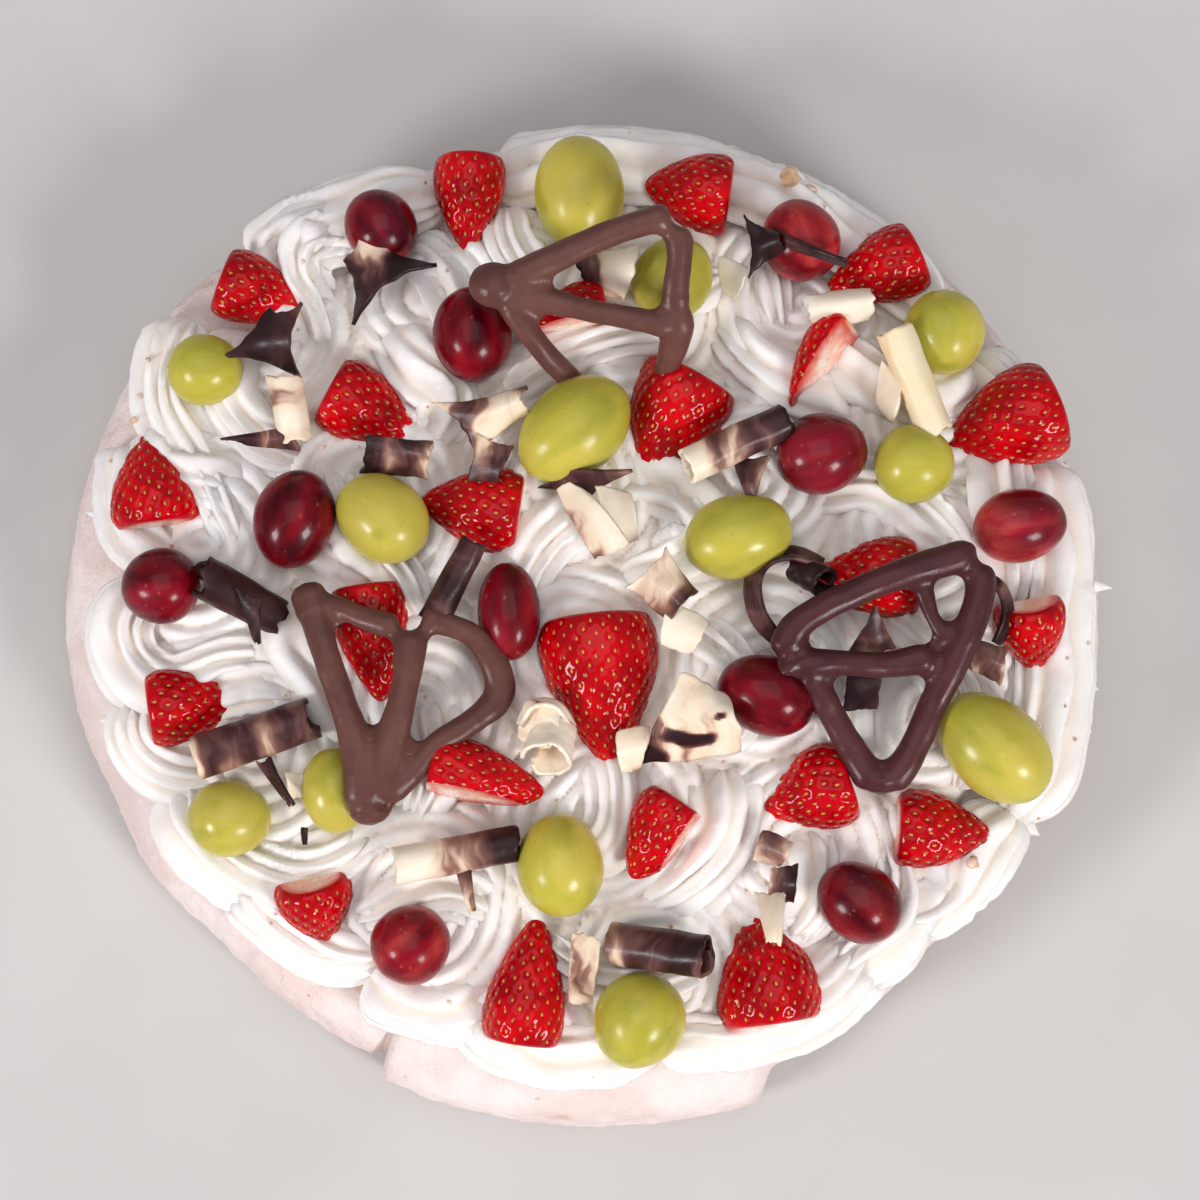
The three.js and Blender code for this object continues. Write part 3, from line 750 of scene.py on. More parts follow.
def make_meringue():
    bm = bmesh.new()
    toast_and_crack_shade = bm.verts.layers.float.new("toast_and_crack_shade")
    line = smooth_path([Vector((MERINGUE_RADIUS - i, 0, h)) for h, i in MERINGUE_SIDE],
                       MERINGUE_ROWS)
    verts = [bm.verts.new(p) for p in line]
    for a, b in zip(verts, verts[1:]):
        bm.edges.new((a, b))
    bmesh.ops.spin(bm, geom=bm.verts[:] + bm.edges[:], axis=(0, 0, 1), cent=(0, 0, 0),
                   angle=math.tau, steps=MERINGUE_SECTORS, use_merge=True)
    loops = {"low": [], "high": []}
    for edge in bm.edges:
        if edge.is_boundary:
            loops["low" if edge.verts[0].co.z < MERINGUE_TOP / 2 else "high"].append(edge)
    for edges in loops.values():
        bmesh.ops.holes_fill(bm, edges=edges, sides=0)
    for v in bm.verts:
        x, y, z = v.co
        turn = math.degrees(math.atan2(y, x))
        inset = MERINGUE_RADIUS - math.hypot(x, y)
        side = clamped(z / FLAT_FOOT)
        lump = ripple(x / 16, y / 16, z / 16 + 4)
        pits = ripple(x / 3.5, y / 3.5, z / 3.5 + 8)
        grain = ripple(x / 1.1, y / 1.1, z / 1.1 + 2)
        apart = abs((turn - CRACK_ANGLE + 180) % 360 - 180)
        crack = max(0, 1 - apart / CRACK_HALF) * max(0, 1 - inset / CRACK_REACH)
        reach = outline_radius(turn) - inset + side * (0.9 * lump + 0.45 * pits) + 0.2 * grain
        reach -= CRACK_DEPTH * crack * side
        a = math.radians(turn)
        lift = side * (0.35 * lump + 0.26 * pits + 0.16 * grain) - CRACK_DROP * crack * side
        v.co = spot(reach * math.cos(a), reach * math.sin(a), max(0, z + lift))
        # Browned patches at random, and painted shade darkening the crack.
        v[toast_and_crack_shade] = 0.5 * clamped((ripple(x / 9, y / 9, z / 9 + 31) - 0.42) * 3) + 0.55 * crack
    return declare(new_piece("meringue_base", bm, [meringue_finish], recalc=True),
                   "meringue", "meringue")


# ---------------------------------------------------------------- strawberries

# Length, width, way the tip points, roll, pitch, depth of the cut as a share of the width
BERRIES = [
    (21.5, 16, -92, 0, -4, 0.1), (19, 18.5, 172, 10, 0, 0.05), (20, 16, -20, 0, 5, 0.1),
    (22.5, 16.5, 205, -8, 0, 0.1), (22, 17, -28, 0, 4, 0.1), (25, 22.5, 240, 6, 0, 0),
    (22, 15, 232, 115, 0, 0), (26, 22.5, 200, 0, -4, 0.05), (21, 20, 98, 0, 5, 0),
    (22, 18.5, 172, 8, 0, 0.05), (24.5, 17.5, 182, 0, 0, 0.05), (17, 16, -80, 0, 28, 0.05),
    (25.5, 17, -82, -8, 0, 0.1), (21.5, 16.5, 8, 0, 5, 0.1), (32, 26, -84, 0, -4, 0),
    (25, 17, -10, -100, 0, 0.2), (19.5, 17, -125, 98, 0, 0.25), (19.5, 18.5, 200, 0, 0, 0.1),
    (21, 17.5, -4, 0, 5, 0.1), (16, 17, -78, 0, 28, 0), (27.5, 18, 82, 0, -4, 0.1),
    (25.5, 23, 98, 0, 0, 0), (19, 15, 190, 100, 0, 0.1),
]
# Share of the length from the stalk end, share of the half width
BERRY_PROFILE = [
    (0, 0), (0.004, 0.45), (0.012, 0.8), (0.06, 0.93), (0.18, 1), (0.38, 0.95), (0.58, 0.77),
    (0.78, 0.51), (0.92, 0.28), (0.98, 0.13), (1, 0),
]
# The skin ends at this share of the length; the flat disc before it is flesh.
STALK_CUT = 0.011
STALK_MARGIN = 0.9
BERRY_ROWS = 72
BERRY_SECTORS = 128
BERRY_LUMP = 0.07
SEED_PITCH = 2.75
# Half length, half width and half height of a seed
SEED_SIZE = (0.6, 0.36, 0.28)
SEED_PROUD = 0.12
# Depth under the cream's crests past which no seed can be seen
SEED_REACH = 7
PIT_DEPTH = 0.55
PIT_WIDTH = 0.8
GOLDEN_TURN = math.pi * (3 - math.sqrt(5))


def seed_spots(profile, length, half):
    """Evenly spread points (along, angle) over the skin, on a golden-angle spiral."""
    area = [0.0]
    for a, b in zip(profile, profile[1:]):
        wide = (a.y + b.y) / 2 * half
        run = math.hypot((b.x - a.x) * length, (b.y - a.y) * half)
        area.append(area[-1] + math.tau * wide * run)
    count = round(area[-1] / (SEED_PITCH ** 2 * 0.95))
    spots = []
    j = 0
    for k in range(count):
        goal = area[-1] * (k + 0.5) / count
        while area[j + 1] < goal:
            j += 1
        share = (goal - area[j]) / (area[j + 1] - area[j])
        spots.append((j + share, k * GOLDEN_TURN))
    return spots


CUT_RINGS = 7
CUT_UNEVEN = 0.12


def close_cut(bm, rim, core, seed):
    """Flesh from the rim of a cut in to its middle, in rings that dip and rise a little."""
    corners = [v.co for edge in rim for v in edge.verts]
    middle = sum(corners, Vector()) / len(corners)
    for ring in range(1, CUT_RINGS + 1):
        made = bmesh.ops.extrude_edge_only(bm, edges=rim)["geom"]
        faces = [g for g in made if isinstance(g, bmesh.types.BMFace)]
        inner = [g for g in made if isinstance(g, bmesh.types.BMVert)]
        for face in faces:
            face.material_index = 1
        share = 1 - ring / CUT_RINGS
        last = 1 - (ring - 1) / CUT_RINGS
        for v in inner:
            flat = middle + (v.co - middle) * (share / last)
            v[core] = ring / CUT_RINGS
            if share:
                flat.z += CUT_UNEVEN * ripple(flat.x / 1.5, flat.y / 1.5, seed)
            v.co = flat
        rim = [g for g in made if isinstance(g, bmesh.types.BMEdge) and g.is_boundary]
    bmesh.ops.pointmerge(bm, verts=inner, merge_co=middle)


def make_berry(number, seeds, length, width, turn, roll, pitch, cut):
    """One cut strawberry with a pit for each seed; the seeds go to a mesh of their own."""
    name = f"strawberry_{number}"
    half = width / 2
    profile = smooth_path([Vector((a, b, 0)) for a, b in BERRY_PROFILE], BERRY_ROWS)

    def skin(row, angle):
        low = min(int(row), BERRY_ROWS - 1)
        p = profile[low].lerp(profile[low + 1], row - low)
        way = Vector((0, math.cos(angle), math.sin(angle)))
        lump = ripple(p.x * 1.6, way.y * 1.1 + number * 5, way.z * 1.1)
        reach = max(p.y, 0) * half * (1 + BERRY_LUMP * lump)
        return Vector(((p.x - 0.5) * length, 0, 0)) + way * reach

    bm = bmesh.new()
    grown = bm.verts.layers.float_vector.new("grown")
    pit = bm.verts.layers.float.new("pit")
    stalk = bm.verts.layers.float.new("stalk")
    core = bm.verts.layers.float.new("core")
    for v, i, j in grid_steps(bm, BERRY_ROWS, BERRY_SECTORS):
        v[stalk] = max(0, 1 - i / BERRY_ROWS * 4)
        if profile[i].x < STALK_CUT:
            v[core] = 1 - (max(profile[i].y, 0) / 0.8) ** 2
        v.co = skin(i, math.tau * j / BERRY_SECTORS)
    bmesh.ops.remove_doubles(bm, verts=bm.verts, dist=1e-3)
    bmesh.ops.recalc_face_normals(bm, faces=bm.faces)
    bm.normal_update()

    stalk_end = (STALK_CUT - 0.5) * length
    spots = [(skin(row, angle), skin(min(row + 1, BERRY_ROWS), angle), angle)
             for row, angle in seed_spots(profile, length, half)]
    spots = [row for row in spots if row[0].x > stalk_end + STALK_MARGIN]
    tree = kdtree.KDTree(len(spots))
    for k, (point, _, _) in enumerate(spots):
        tree.insert(point, k)
    tree.balance()
    moves = []
    for v in bm.verts:
        _, _, away = tree.find(v.co)
        dent = math.exp(-(away / PIT_WIDTH) ** 2.6)
        moves.append((v, v.co - v.normal * PIT_DEPTH * dent, dent))
    for v, place, dent in moves:
        v.co = place
        # The dent also darkens the skin there, as painted shade.
        v[pit] = dent

    for face in bm.faces:
        if face.calc_center_median().x < stalk_end:
            face.material_index = 1
            for edge in face.edges:
                if any(f.material_index == 0 for f in edge.link_faces):
                    edge.smooth = False
    floor = -cut * width
    bmesh.ops.bisect_plane(bm, geom=bm.verts[:] + bm.edges[:] + bm.faces[:],
                           plane_co=(0, 0, floor), plane_no=(0, 0, -1), clear_outer=True,
                           dist=1e-3)
    rim = [e for e in bm.edges if e.is_boundary]
    for edge in rim:
        edge.smooth = False
    close_cut(bm, rim, core, number)
    bmesh.ops.recalc_face_normals(bm, faces=bm.faces)
    for v in bm.verts:
        v[grown] = v.co * MM + Vector((number * 0.05, 0, 0))

    frame_turn = turned(roll, pitch, turn)
    for v in bm.verts:
        v.co = frame_turn @ (v.co * MM)
    shift = centre_on(bm.verts, box_centre(name))

    # Each berry's seeds are made apart first, as adding to a large mesh is slow.
    small = bmesh.new()
    upright = frame_turn.to_3x3()
    for point, onward, angle in spots:
        if point.z < floor + 0.4:
            continue
        place = frame_turn @ (point * MM) + shift
        mm_spot = (place - MIDDLE) / MM
        if mm_spot.z < crest(mm_spot.x, mm_spot.y) - SEED_REACH:
            continue
        out = Vector((0, math.cos(angle), math.sin(angle)))
        along = onward - point
        if along.length < SAME_PLACE:
            continue
        along = (upright @ along).normalized()
        across = along.cross(upright @ out).normalized()
        up = across.cross(along).normalized()
        if up.dot(upright @ out) < 0:
            up = -up
        place -= up * (PIT_DEPTH - SEED_PROUD) * MM
        axes = Matrix((along * SEED_SIZE[0], across * SEED_SIZE[1], up * SEED_SIZE[2])).transposed()
        put = Matrix.Translation(place) @ (axes * MM).to_4x4()
        bmesh.ops.create_uvsphere(small, u_segments=6, v_segments=4, radius=1, matrix=put)
    bmesh.ops.recalc_face_normals(small, faces=small.faces)
    scratch = bpy.data.meshes.new("scratch")
    small.to_mesh(scratch)
    small.free()
    seeds.from_mesh(scratch)
    bpy.data.meshes.remove(scratch)
    piece = new_piece(f"{name}_skin", bm, [strawberry_finish, flesh_finish])
    return declare(piece, "strawberry", name)


def make_strawberries():
    seeds = bmesh.new()
    for number, row in enumerate(BERRIES, 1):
        make_berry(number, seeds, *row)
    declare(new_piece("strawberry_seeds", seeds, [seed_finish]), "strawberry")


# ---------------------------------------------------------------- grapes

# Length, width, direction of the long axis, end with the stem scar (-1, 1 or 0), pink flush
GREEN_GRAPES = [
    (25, 19.5, 92, 0, 0), (19, 17, 60, 0, 0), (18.5, 17.5, 90, 0, 0), (16.5, 15.5, 0, 0, 0),
    (27, 20, 42, 0, 0), (17.5, 17, 0, 0, 0), (21.5, 18, -40, 0, 0), (23.5, 18, 14, 1, 0),
    (28, 20, -42, 0, 0), (18, 16.5, 0, 0, 0), (18.5, 15, 90, 0, 0), (22, 18.5, 95, 0, 0),
    (21, 19.5, 60, 0, 0),
]
RED_GRAPES = [
    (17, 15.5, -60, 0, 0.1), (20.5, 17, 95, 0, 0.15), (18, 17, -60, 0, 0.9), (20, 17.5, 15, 0, 0.35),
    (21.5, 17.5, 75, 0, 0.15), (20.5, 16, 10, -1, 0.75), (17, 16.5, 0, 0, 0.15),
    (21, 13.5, 92, 1, 0.3), (21.5, 17, -20, 0, 0), (17.5, 17, 40, 1, 0.75), (19.5, 16.5, -40, 0, 0.35),
]


def make_grape(name, kind, finish, seed, length, width, turn, scar_end, pink):
    """One grape; scar_end says at which end of its long axis the stem sat, if it shows."""
    bm = bmesh.new()
    grown = bm.verts.layers.float_vector.new("grown")
    scar = bm.verts.layers.float.new("scar")
    flush = bm.verts.layers.float.new("flush")
    bmesh.ops.create_uvsphere(bm, u_segments=56, v_segments=36, radius=1,
                              matrix=Matrix.Rotation(math.pi / 2, 4, "Y"))
    size = Vector((length, width, width)) / 2
    put = turned(0, 0, turn)
    for v in bm.verts:
        p = v.co.copy()
        plump = 1 + 0.025 * noise.noise(p * 1.2 + Vector((seed * 4.1, 0, 0)))
        fuller = 1 + 0.04 * (p.x * (1 - p.x * p.x)) * (1 if seed % 2 else -1)
        ring = Vector((0, p.y, p.z)).length
        mark = max(0, 1 - ring / 0.17) if scar_end and p.x * scar_end > 0 else 0
        tip = max(0, 1 - ring / 0.1) if p.x * (scar_end or 1) < 0 else 0
        v[grown] = p * width / 2 * MM + Vector((seed * 0.031, 0, 0))
        v[scar] = mark + 0.5 * tip
        v[flush] = pink * (0.55 + 0.6 * ripple(p.x * 0.8, p.y * 2, p.z * 2 + seed))
        if scar_end == -1 and kind == "red_grape":
            v[flush] += max(0, -p.x) * 0.5
        p = Vector((p.x * size.x, p.y * size.y * fuller, p.z * size.z * fuller)) * plump
        p *= 1 - 0.06 * mark
        v.co = put @ (p * MM)
    centre_on(bm.verts, box_centre(name))
    return declare(new_piece(f"{name}_skin", bm, [finish]), kind, name)


def make_grapes():
    for kind, finish, rows in (
        ("green_grape", green_grape_finish, GREEN_GRAPES),
        ("red_grape", red_grape_finish, RED_GRAPES),
    ):
        for number, row in enumerate(rows, 1):
            make_grape(f"{kind}_{number}", kind, finish, number, *row)


# ---------------------------------------------------------------- chocolate

# Piped lattices: strokes of points (x, y, height, width)
LATTICES = {
    "lattice_left": [
        [(-62.4, 5.6, 46, 8.4), (-60.3, 0, 46.5, 7.4), (-56.5, -12.2, 50, 5.5),
         (-51.6, -26.1, 51, 6), (-48.9, -37.1, 51, 8), (-48, -46.2, 49, 10)],
        [(-58.5, 0.6, 46, 5), (-49.5, -3.3, 50, 4.4), (-40, -6.4, 52, 6)],
        [(-38.3, -5, 52, 8), (-39.8, -18.1, 53, 5.5), (-42.7, -29.9, 52, 7), (-46.7, -43.4, 50, 10)],
        [(-38, -4.2, 52, 6), (-32.4, -4.8, 51, 5), (-26, -7.3, 49.5, 5), (-21.2, -13.2, 47.5, 6),
         (-19.9, -19.6, 46.5, 6.5), (-24.3, -24.6, 48, 5.5), (-32.4, -30.1, 50, 5),
         (-39.8, -37.1, 51, 6.5), (-46, -42.4, 50.5, 8)],
        [(-51, -34, 50.5, 4), (-46, -37, 51, 6), (-41.5, -35.5, 51, 3.5)],
        [(-47.4, -41, 50, 9), (-47, -45, 49.5, 9.5), (-46.4, -49, 48.8, 8)],
    ],
    "lattice_top": [
        [(-27.6, 68.6, 56, 8.2), (-21, 66.5, 57.5, 9.6), (-15.2, 64.6, 58, 8.5)],
        [(-19.5, 66.8, 58, 6.5), (-1.3, 75, 60, 5.6), (10.6, 79.4, 61, 5.8), (18, 80.3, 61, 6.4)],
        [(18.2, 80.2, 61, 6.4), (18, 71.2, 59, 5.2), (17.3, 62.3, 56, 5.5), (18, 58.3, 54, 7),
         (15.9, 50.4, 47, 5.2), (15, 46, 41, 5.5)],
        [(-18.2, 65, 58, 6), (-1.3, 61.2, 57, 4.8), (10.6, 59.3, 56, 4.8), (18.4, 57.6, 54.5, 6)],
        [(18, 58, 54.5, 5), (21.6, 60.6, 55, 2.6)],
        [(-19, 64.6, 58, 6), (-11.2, 53.6, 54, 4.8), (-1.3, 44.5, 44, 5)],
    ],
    "lattice_right": [
        [(40.6, -13.2, 50, 8), (41.7, -7.3, 51, 6.5), (46.5, -2.9, 52, 6), (56.5, 2, 51.5, 6),
         (68.3, 6.5, 51, 6.4), (78.3, 9.4, 50, 7), (83, 8.8, 49.5, 6.8)],
        [(82.3, 9.6, 49.5, 6.4), (82.2, 2, 49.2, 6.6), (80.8, -3.4, 49, 6.4),
         (77.2, -12.2, 48, 6.4), (72.3, -22.1, 46, 6), (67.3, -32.9, 45, 6.4), (61.3, -40.4, 44, 8)],
        [(61.3, -40.4, 44, 8), (55.4, -32, 45, 6), (48.6, -20.2, 48, 5.6), (43.5, -13.5, 50, 7)],
        [(41.7, -13.6, 50.5, 7), (51.6, -13.2, 50, 5.2), (61.3, -13.6, 48.5, 5.4), (74, -11.7, 48, 7)],
        [(69.6, 4.4, 50.5, 4.4), (72.3, -3.9, 49, 2.8), (77, -8.5, 48.5, 5)],
        [(61.3, -33, 44.6, 5), (61.3, -38.5, 44.2, 8.5), (61.3, -42.6, 44, 8)],
        [(40.4, -10.5, 50.5, 7), (42, -13.5, 50, 8.5), (45, -16.5, 49.4, 7)],
    ],
}
STROKE_AROUND = 16
STROKE_STEP = 1.0
STROKE_FLATNESS = 0.85
# The strokes are made this much too thick, so that they run together, and shrunk again.
STROKE_SWELL = 1.5
SHRUNK = 0.15 - STROKE_SWELL
DRIP = 0.3
DRIP_SIZE = 6
LATTICE_VOXEL = 0.45


def pipe_stroke(bm, points):
    """One round stroke whose width follows the points, with round ends."""
    steps = max(10, round(path_length([Vector(p[:3]) for p in points]) / STROKE_STEP))
    path = smooth_path([Vector(p[:3]) for p in points], steps)
    nearest = []
    for place in path:
        away = sorted((math.hypot(place.x - q[0], place.y - q[1]) + 1e-3, q[3]) for q in points)
        (a, first), (b, second) = away[:2]
        nearest.append((first * b + second * a) / (a + b) / 2 + STROKE_SWELL)
    for v, i, j in grid_steps(bm, steps, STROKE_AROUND):
        radius = nearest[i]
        tangent = way_along(path, i)
        side = Vector((0, 0, 1)).cross(tangent).normalized()
        above = tangent.cross(side)
        run = min(i, steps - i) * STROKE_STEP / radius
        swell = math.sqrt(1 - (1 - min(run, 1)) ** 2)
        angle = math.tau * j / STROKE_AROUND
        way = side * math.cos(angle) + above * math.sin(angle) * STROKE_FLATNESS
        v.co = spot(*(path[i] + way * radius * swell))


def make_lattice(name, slot, finish):
    """The piped lattice, its strokes run together and rounded."""
    bm = bmesh.new()
    for points in LATTICES[name]:
        pipe_stroke(bm, points)
    bmesh.ops.remove_doubles(bm, verts=bm.verts, dist=SAME_PLACE)
    piece = new_piece(f"{name}_piped", bm, [finish], recalc=True)
    remesh = piece.modifiers.new("run_together", "REMESH")
    remesh.mode = "VOXEL"
    remesh.voxel_size = LATTICE_VOXEL * MM
    settle = piece.modifiers.new("rounded", "SMOOTH")
    settle.factor = 0.5
    settle.iterations = 10
    graph = bpy.context.evaluated_depsgraph_get()
    mesh = bpy.data.meshes.new_from_object(piece.evaluated_get(graph))
    piece.modifiers.clear()
    old = piece.data
    piece.data = mesh
    bpy.data.meshes.remove(old)
    bm = bmesh.new()
    bm.from_mesh(mesh)
    bm.normal_update()
    for v in bm.verts:
        drip = noise.noise(v.co / (DRIP_SIZE * MM) + Vector((3, 1, 2)))
        v.co += v.normal * (SHRUNK + DRIP * drip) * MM
    for face in bm.faces:
        face.smooth = True
    bm.to_mesh(mesh)
    bm.free()
    mesh.materials.clear()
    mesh.materials.append(finish)
    return declare(piece, slot, name)


# Thickness of the chocolate in the curls and flakes, and steps over one
SHEET = 0.9
SHEET_STEPS = 30
FLAKE_STEPS = 26
RIBBON_ROWS = 8
FLAKE_BULGE = 1.5
STRIPE_SHADE = 0.62
# Offset between the patterns of two pieces
PATTERN_STEP = 13


def roll_curl(bm, seed, length, radius, sweep, taper, roll, pitch, turn, pale, jag=0.8):
    """A shaving rolled along X, narrowed by taper at its far end, with torn edges."""
    around = max(16, round(sweep / 8))
    made = bmesh.ops.create_grid(bm, x_segments=SHEET_STEPS, y_segments=around, size=1)
    sheet = bm.verts.layers.float_vector["sheet"]
    paleness = bm.verts.layers.float["pale"]
    put = turned(roll, pitch, turn)
    for v in made["verts"]:
        s, t = v.co.x, v.co.y
        angle = math.radians(sweep) / 2 * t
        torn = 2 * ripple(t * 2.6, s * 0.5, seed * 3.3) + 0.6 * ripple(t * 8, s * 0.5, seed * 1.7)
        x = s * length / 2 + math.copysign(s ** 6, s) * jag * torn
        angle += math.copysign(t ** 6, t) * 0.25 * ripple(s * 3, 7.7, seed * 2.9)
        narrowed = radius * (1 - taper * (0.5 + s / 2))
        wave = 0.25 * ripple(s * 2.2, angle * 1.5, seed)
        reach = max(narrowed + 0.17 * angle + wave, 0.6)
        v[sheet] = Vector((x, radius * angle, seed * PATTERN_STEP)) * MM
        v[paleness] = pale[0] + (pale[1] - pale[0]) * (s + 1) / 2
        v.co = put @ (Vector((x, reach * math.sin(angle), reach * math.cos(angle))) * MM)
    return made["verts"]


def shard(bm, seed, corners, heights, bulge, pinch, pale, stripes=()):
    """A thin curved flake between four corners, its heights given over the crest line."""
    made = bmesh.ops.create_grid(bm, x_segments=FLAKE_STEPS, y_segments=FLAKE_STEPS, size=1)
    sheet = bm.verts.layers.float_vector["sheet"]
    paleness = bm.verts.layers.float["pale"]
    tops = [Vector((x, y, crest(x, y) + h)) for (x, y), h in zip(corners, heights)]
    for v in made["verts"]:
        s, t = v.co.x, v.co.y
        a, b = s * (1 - pinch * (1 - t * t)), t * (1 - pinch * (1 - s * s))
        a += 0.1 * s * abs(s) ** 3 * ripple(t * 2.5, s, seed * 2.1)
        b += 0.1 * t * abs(t) ** 3 * ripple(s * 2.5, t, seed * 1.3)
        a, b = (a + 1) / 2, (b + 1) / 2
        place = tops[0].lerp(tops[1], a).lerp(tops[3].lerp(tops[2], a), b)
        rough = 0.5 * noise.noise(place / 5)
        place.z += FLAKE_BULGE * bulge * (1 - t * t) * (0.6 + 0.4 * s) + rough
        shade = pale[0] + (pale[1] - pale[0]) * a
        for middle, width, start, end in stripes:
            bent = middle + 0.1 * math.sin(4 * a + seed)
            across = eased(1.5 - abs(b - bent) / width)
            shade -= STRIPE_SHADE * across * eased((a - start) * 6) * eased((end - a) * 6)
        v[sheet] = Vector((place.x, place.y * 1.6, seed * PATTERN_STEP)) * MM
        v[paleness] = shade
        v.co = spot(*place)


def ribbon(bm, seed, line, wide, lean, pale):
    """A strip of chocolate standing on edge along a bent line."""
    path = smooth_path([Vector((x, y, crest(x, y) + h)) for x, y, h in line], SHEET_STEPS)
    sheet = bm.verts.layers.float_vector["sheet"]
    paleness = bm.verts.layers.float["pale"]
    upright = Vector((0, 0, 1))
    for v, i, j in grid_steps(bm, SHEET_STEPS, RIBBON_ROWS):
        out = way_along(path, i).cross(upright).normalized()
        up = (upright + out * lean).normalized()
        across = (j / RIBBON_ROWS - 0.5) * wide * (1 - 0.5 * abs(v.co.x) ** 5)
        place = path[i] + up * across + out * 0.4 * math.cos(math.pi * v.co.y)
        v[sheet] = Vector((i * 0.8, across, seed * PATTERN_STEP)) * MM
        v[paleness] = pale
        v.co = spot(*place)


def thicken(piece):
    wall = piece.modifiers.new("wall", "SOLIDIFY")
    wall.thickness = SHEET * MM
    wall.offset = 0
    wall.use_even_offset = False
    return piece


def new_sheets():
    bm = bmesh.new()
    bm.verts.layers.float_vector.new("sheet")
    bm.verts.layers.float.new("pale")
    return bm


# Node, slot, finish, then length, radius, sweep, taper, roll, pitch, turn, paleness at each
# end and, where the edges are torn more, how much
ROLLS = [
    ("curl_white_roll", "white_chocolate", white_finish, 24, 3.6, 420, 0.1, 30, 4, -68, (1, 1)),
    ("curl_dark_open", "dark_chocolate", shard_finish,
     21, 4.4, 310, 0.15, -30, 15, -28, (0.2, 0.2), 1.8),
    ("curl_marbled_roll", "marbled_chocolate", marbled_finish,
     26, 4.3, 360, 0.05, 20, -3, 19, (0.5, 0.38)),
    ("curl_white_tipped", "marbled_chocolate", marbled_finish,
     27, 3.7, 380, 0.05, -20, 3, 11, (1.0, -0.05)),
    ("curl_brown_roll", "marbled_chocolate", marbled_finish,
     22, 4.2, 400, 0, 10, -24, -8, (0.45, 0.25)),
]
# Node, slot, finish, then corners, heights over the crests, bulge, pinch, paleness at each
# side, dark stripes (middle, width, start, end)
FLAKES = [
    ("curl_marbled_hook", "marbled_chocolate", marbled_finish,
     ((-51.2, 82.2), (-33.5, 72.7), (-52.2, 60.4), (-53.8, 75.1)), (6, 7, 2, 3), 3, 0.3, (0.55, 0.15)),
    ("curl_dark_fan", "dark_chocolate", marbled_finish,
     ((-70, 64), (-62.8, 64.7), (-63.6, 48.8), (-80.6, 53.1)), (5, 6, 1, 6), 3.5, 0.28, (0.12, 0.3)),
    ("curl_white_fan", "white_chocolate", marbled_finish,
     ((18.7, -15.5), (28.4, -20.6), (31.8, -31.6), (9.7, -34.6)), (8, 6, 2, 3), 5, -0.06, (0.7, 0.9),
     ((0.66, 0.07, 0.05, 0.8), (0.36, 0.05, 0.66, 0.98), (0.98, 0.12, -0.3, 0.35))),
]
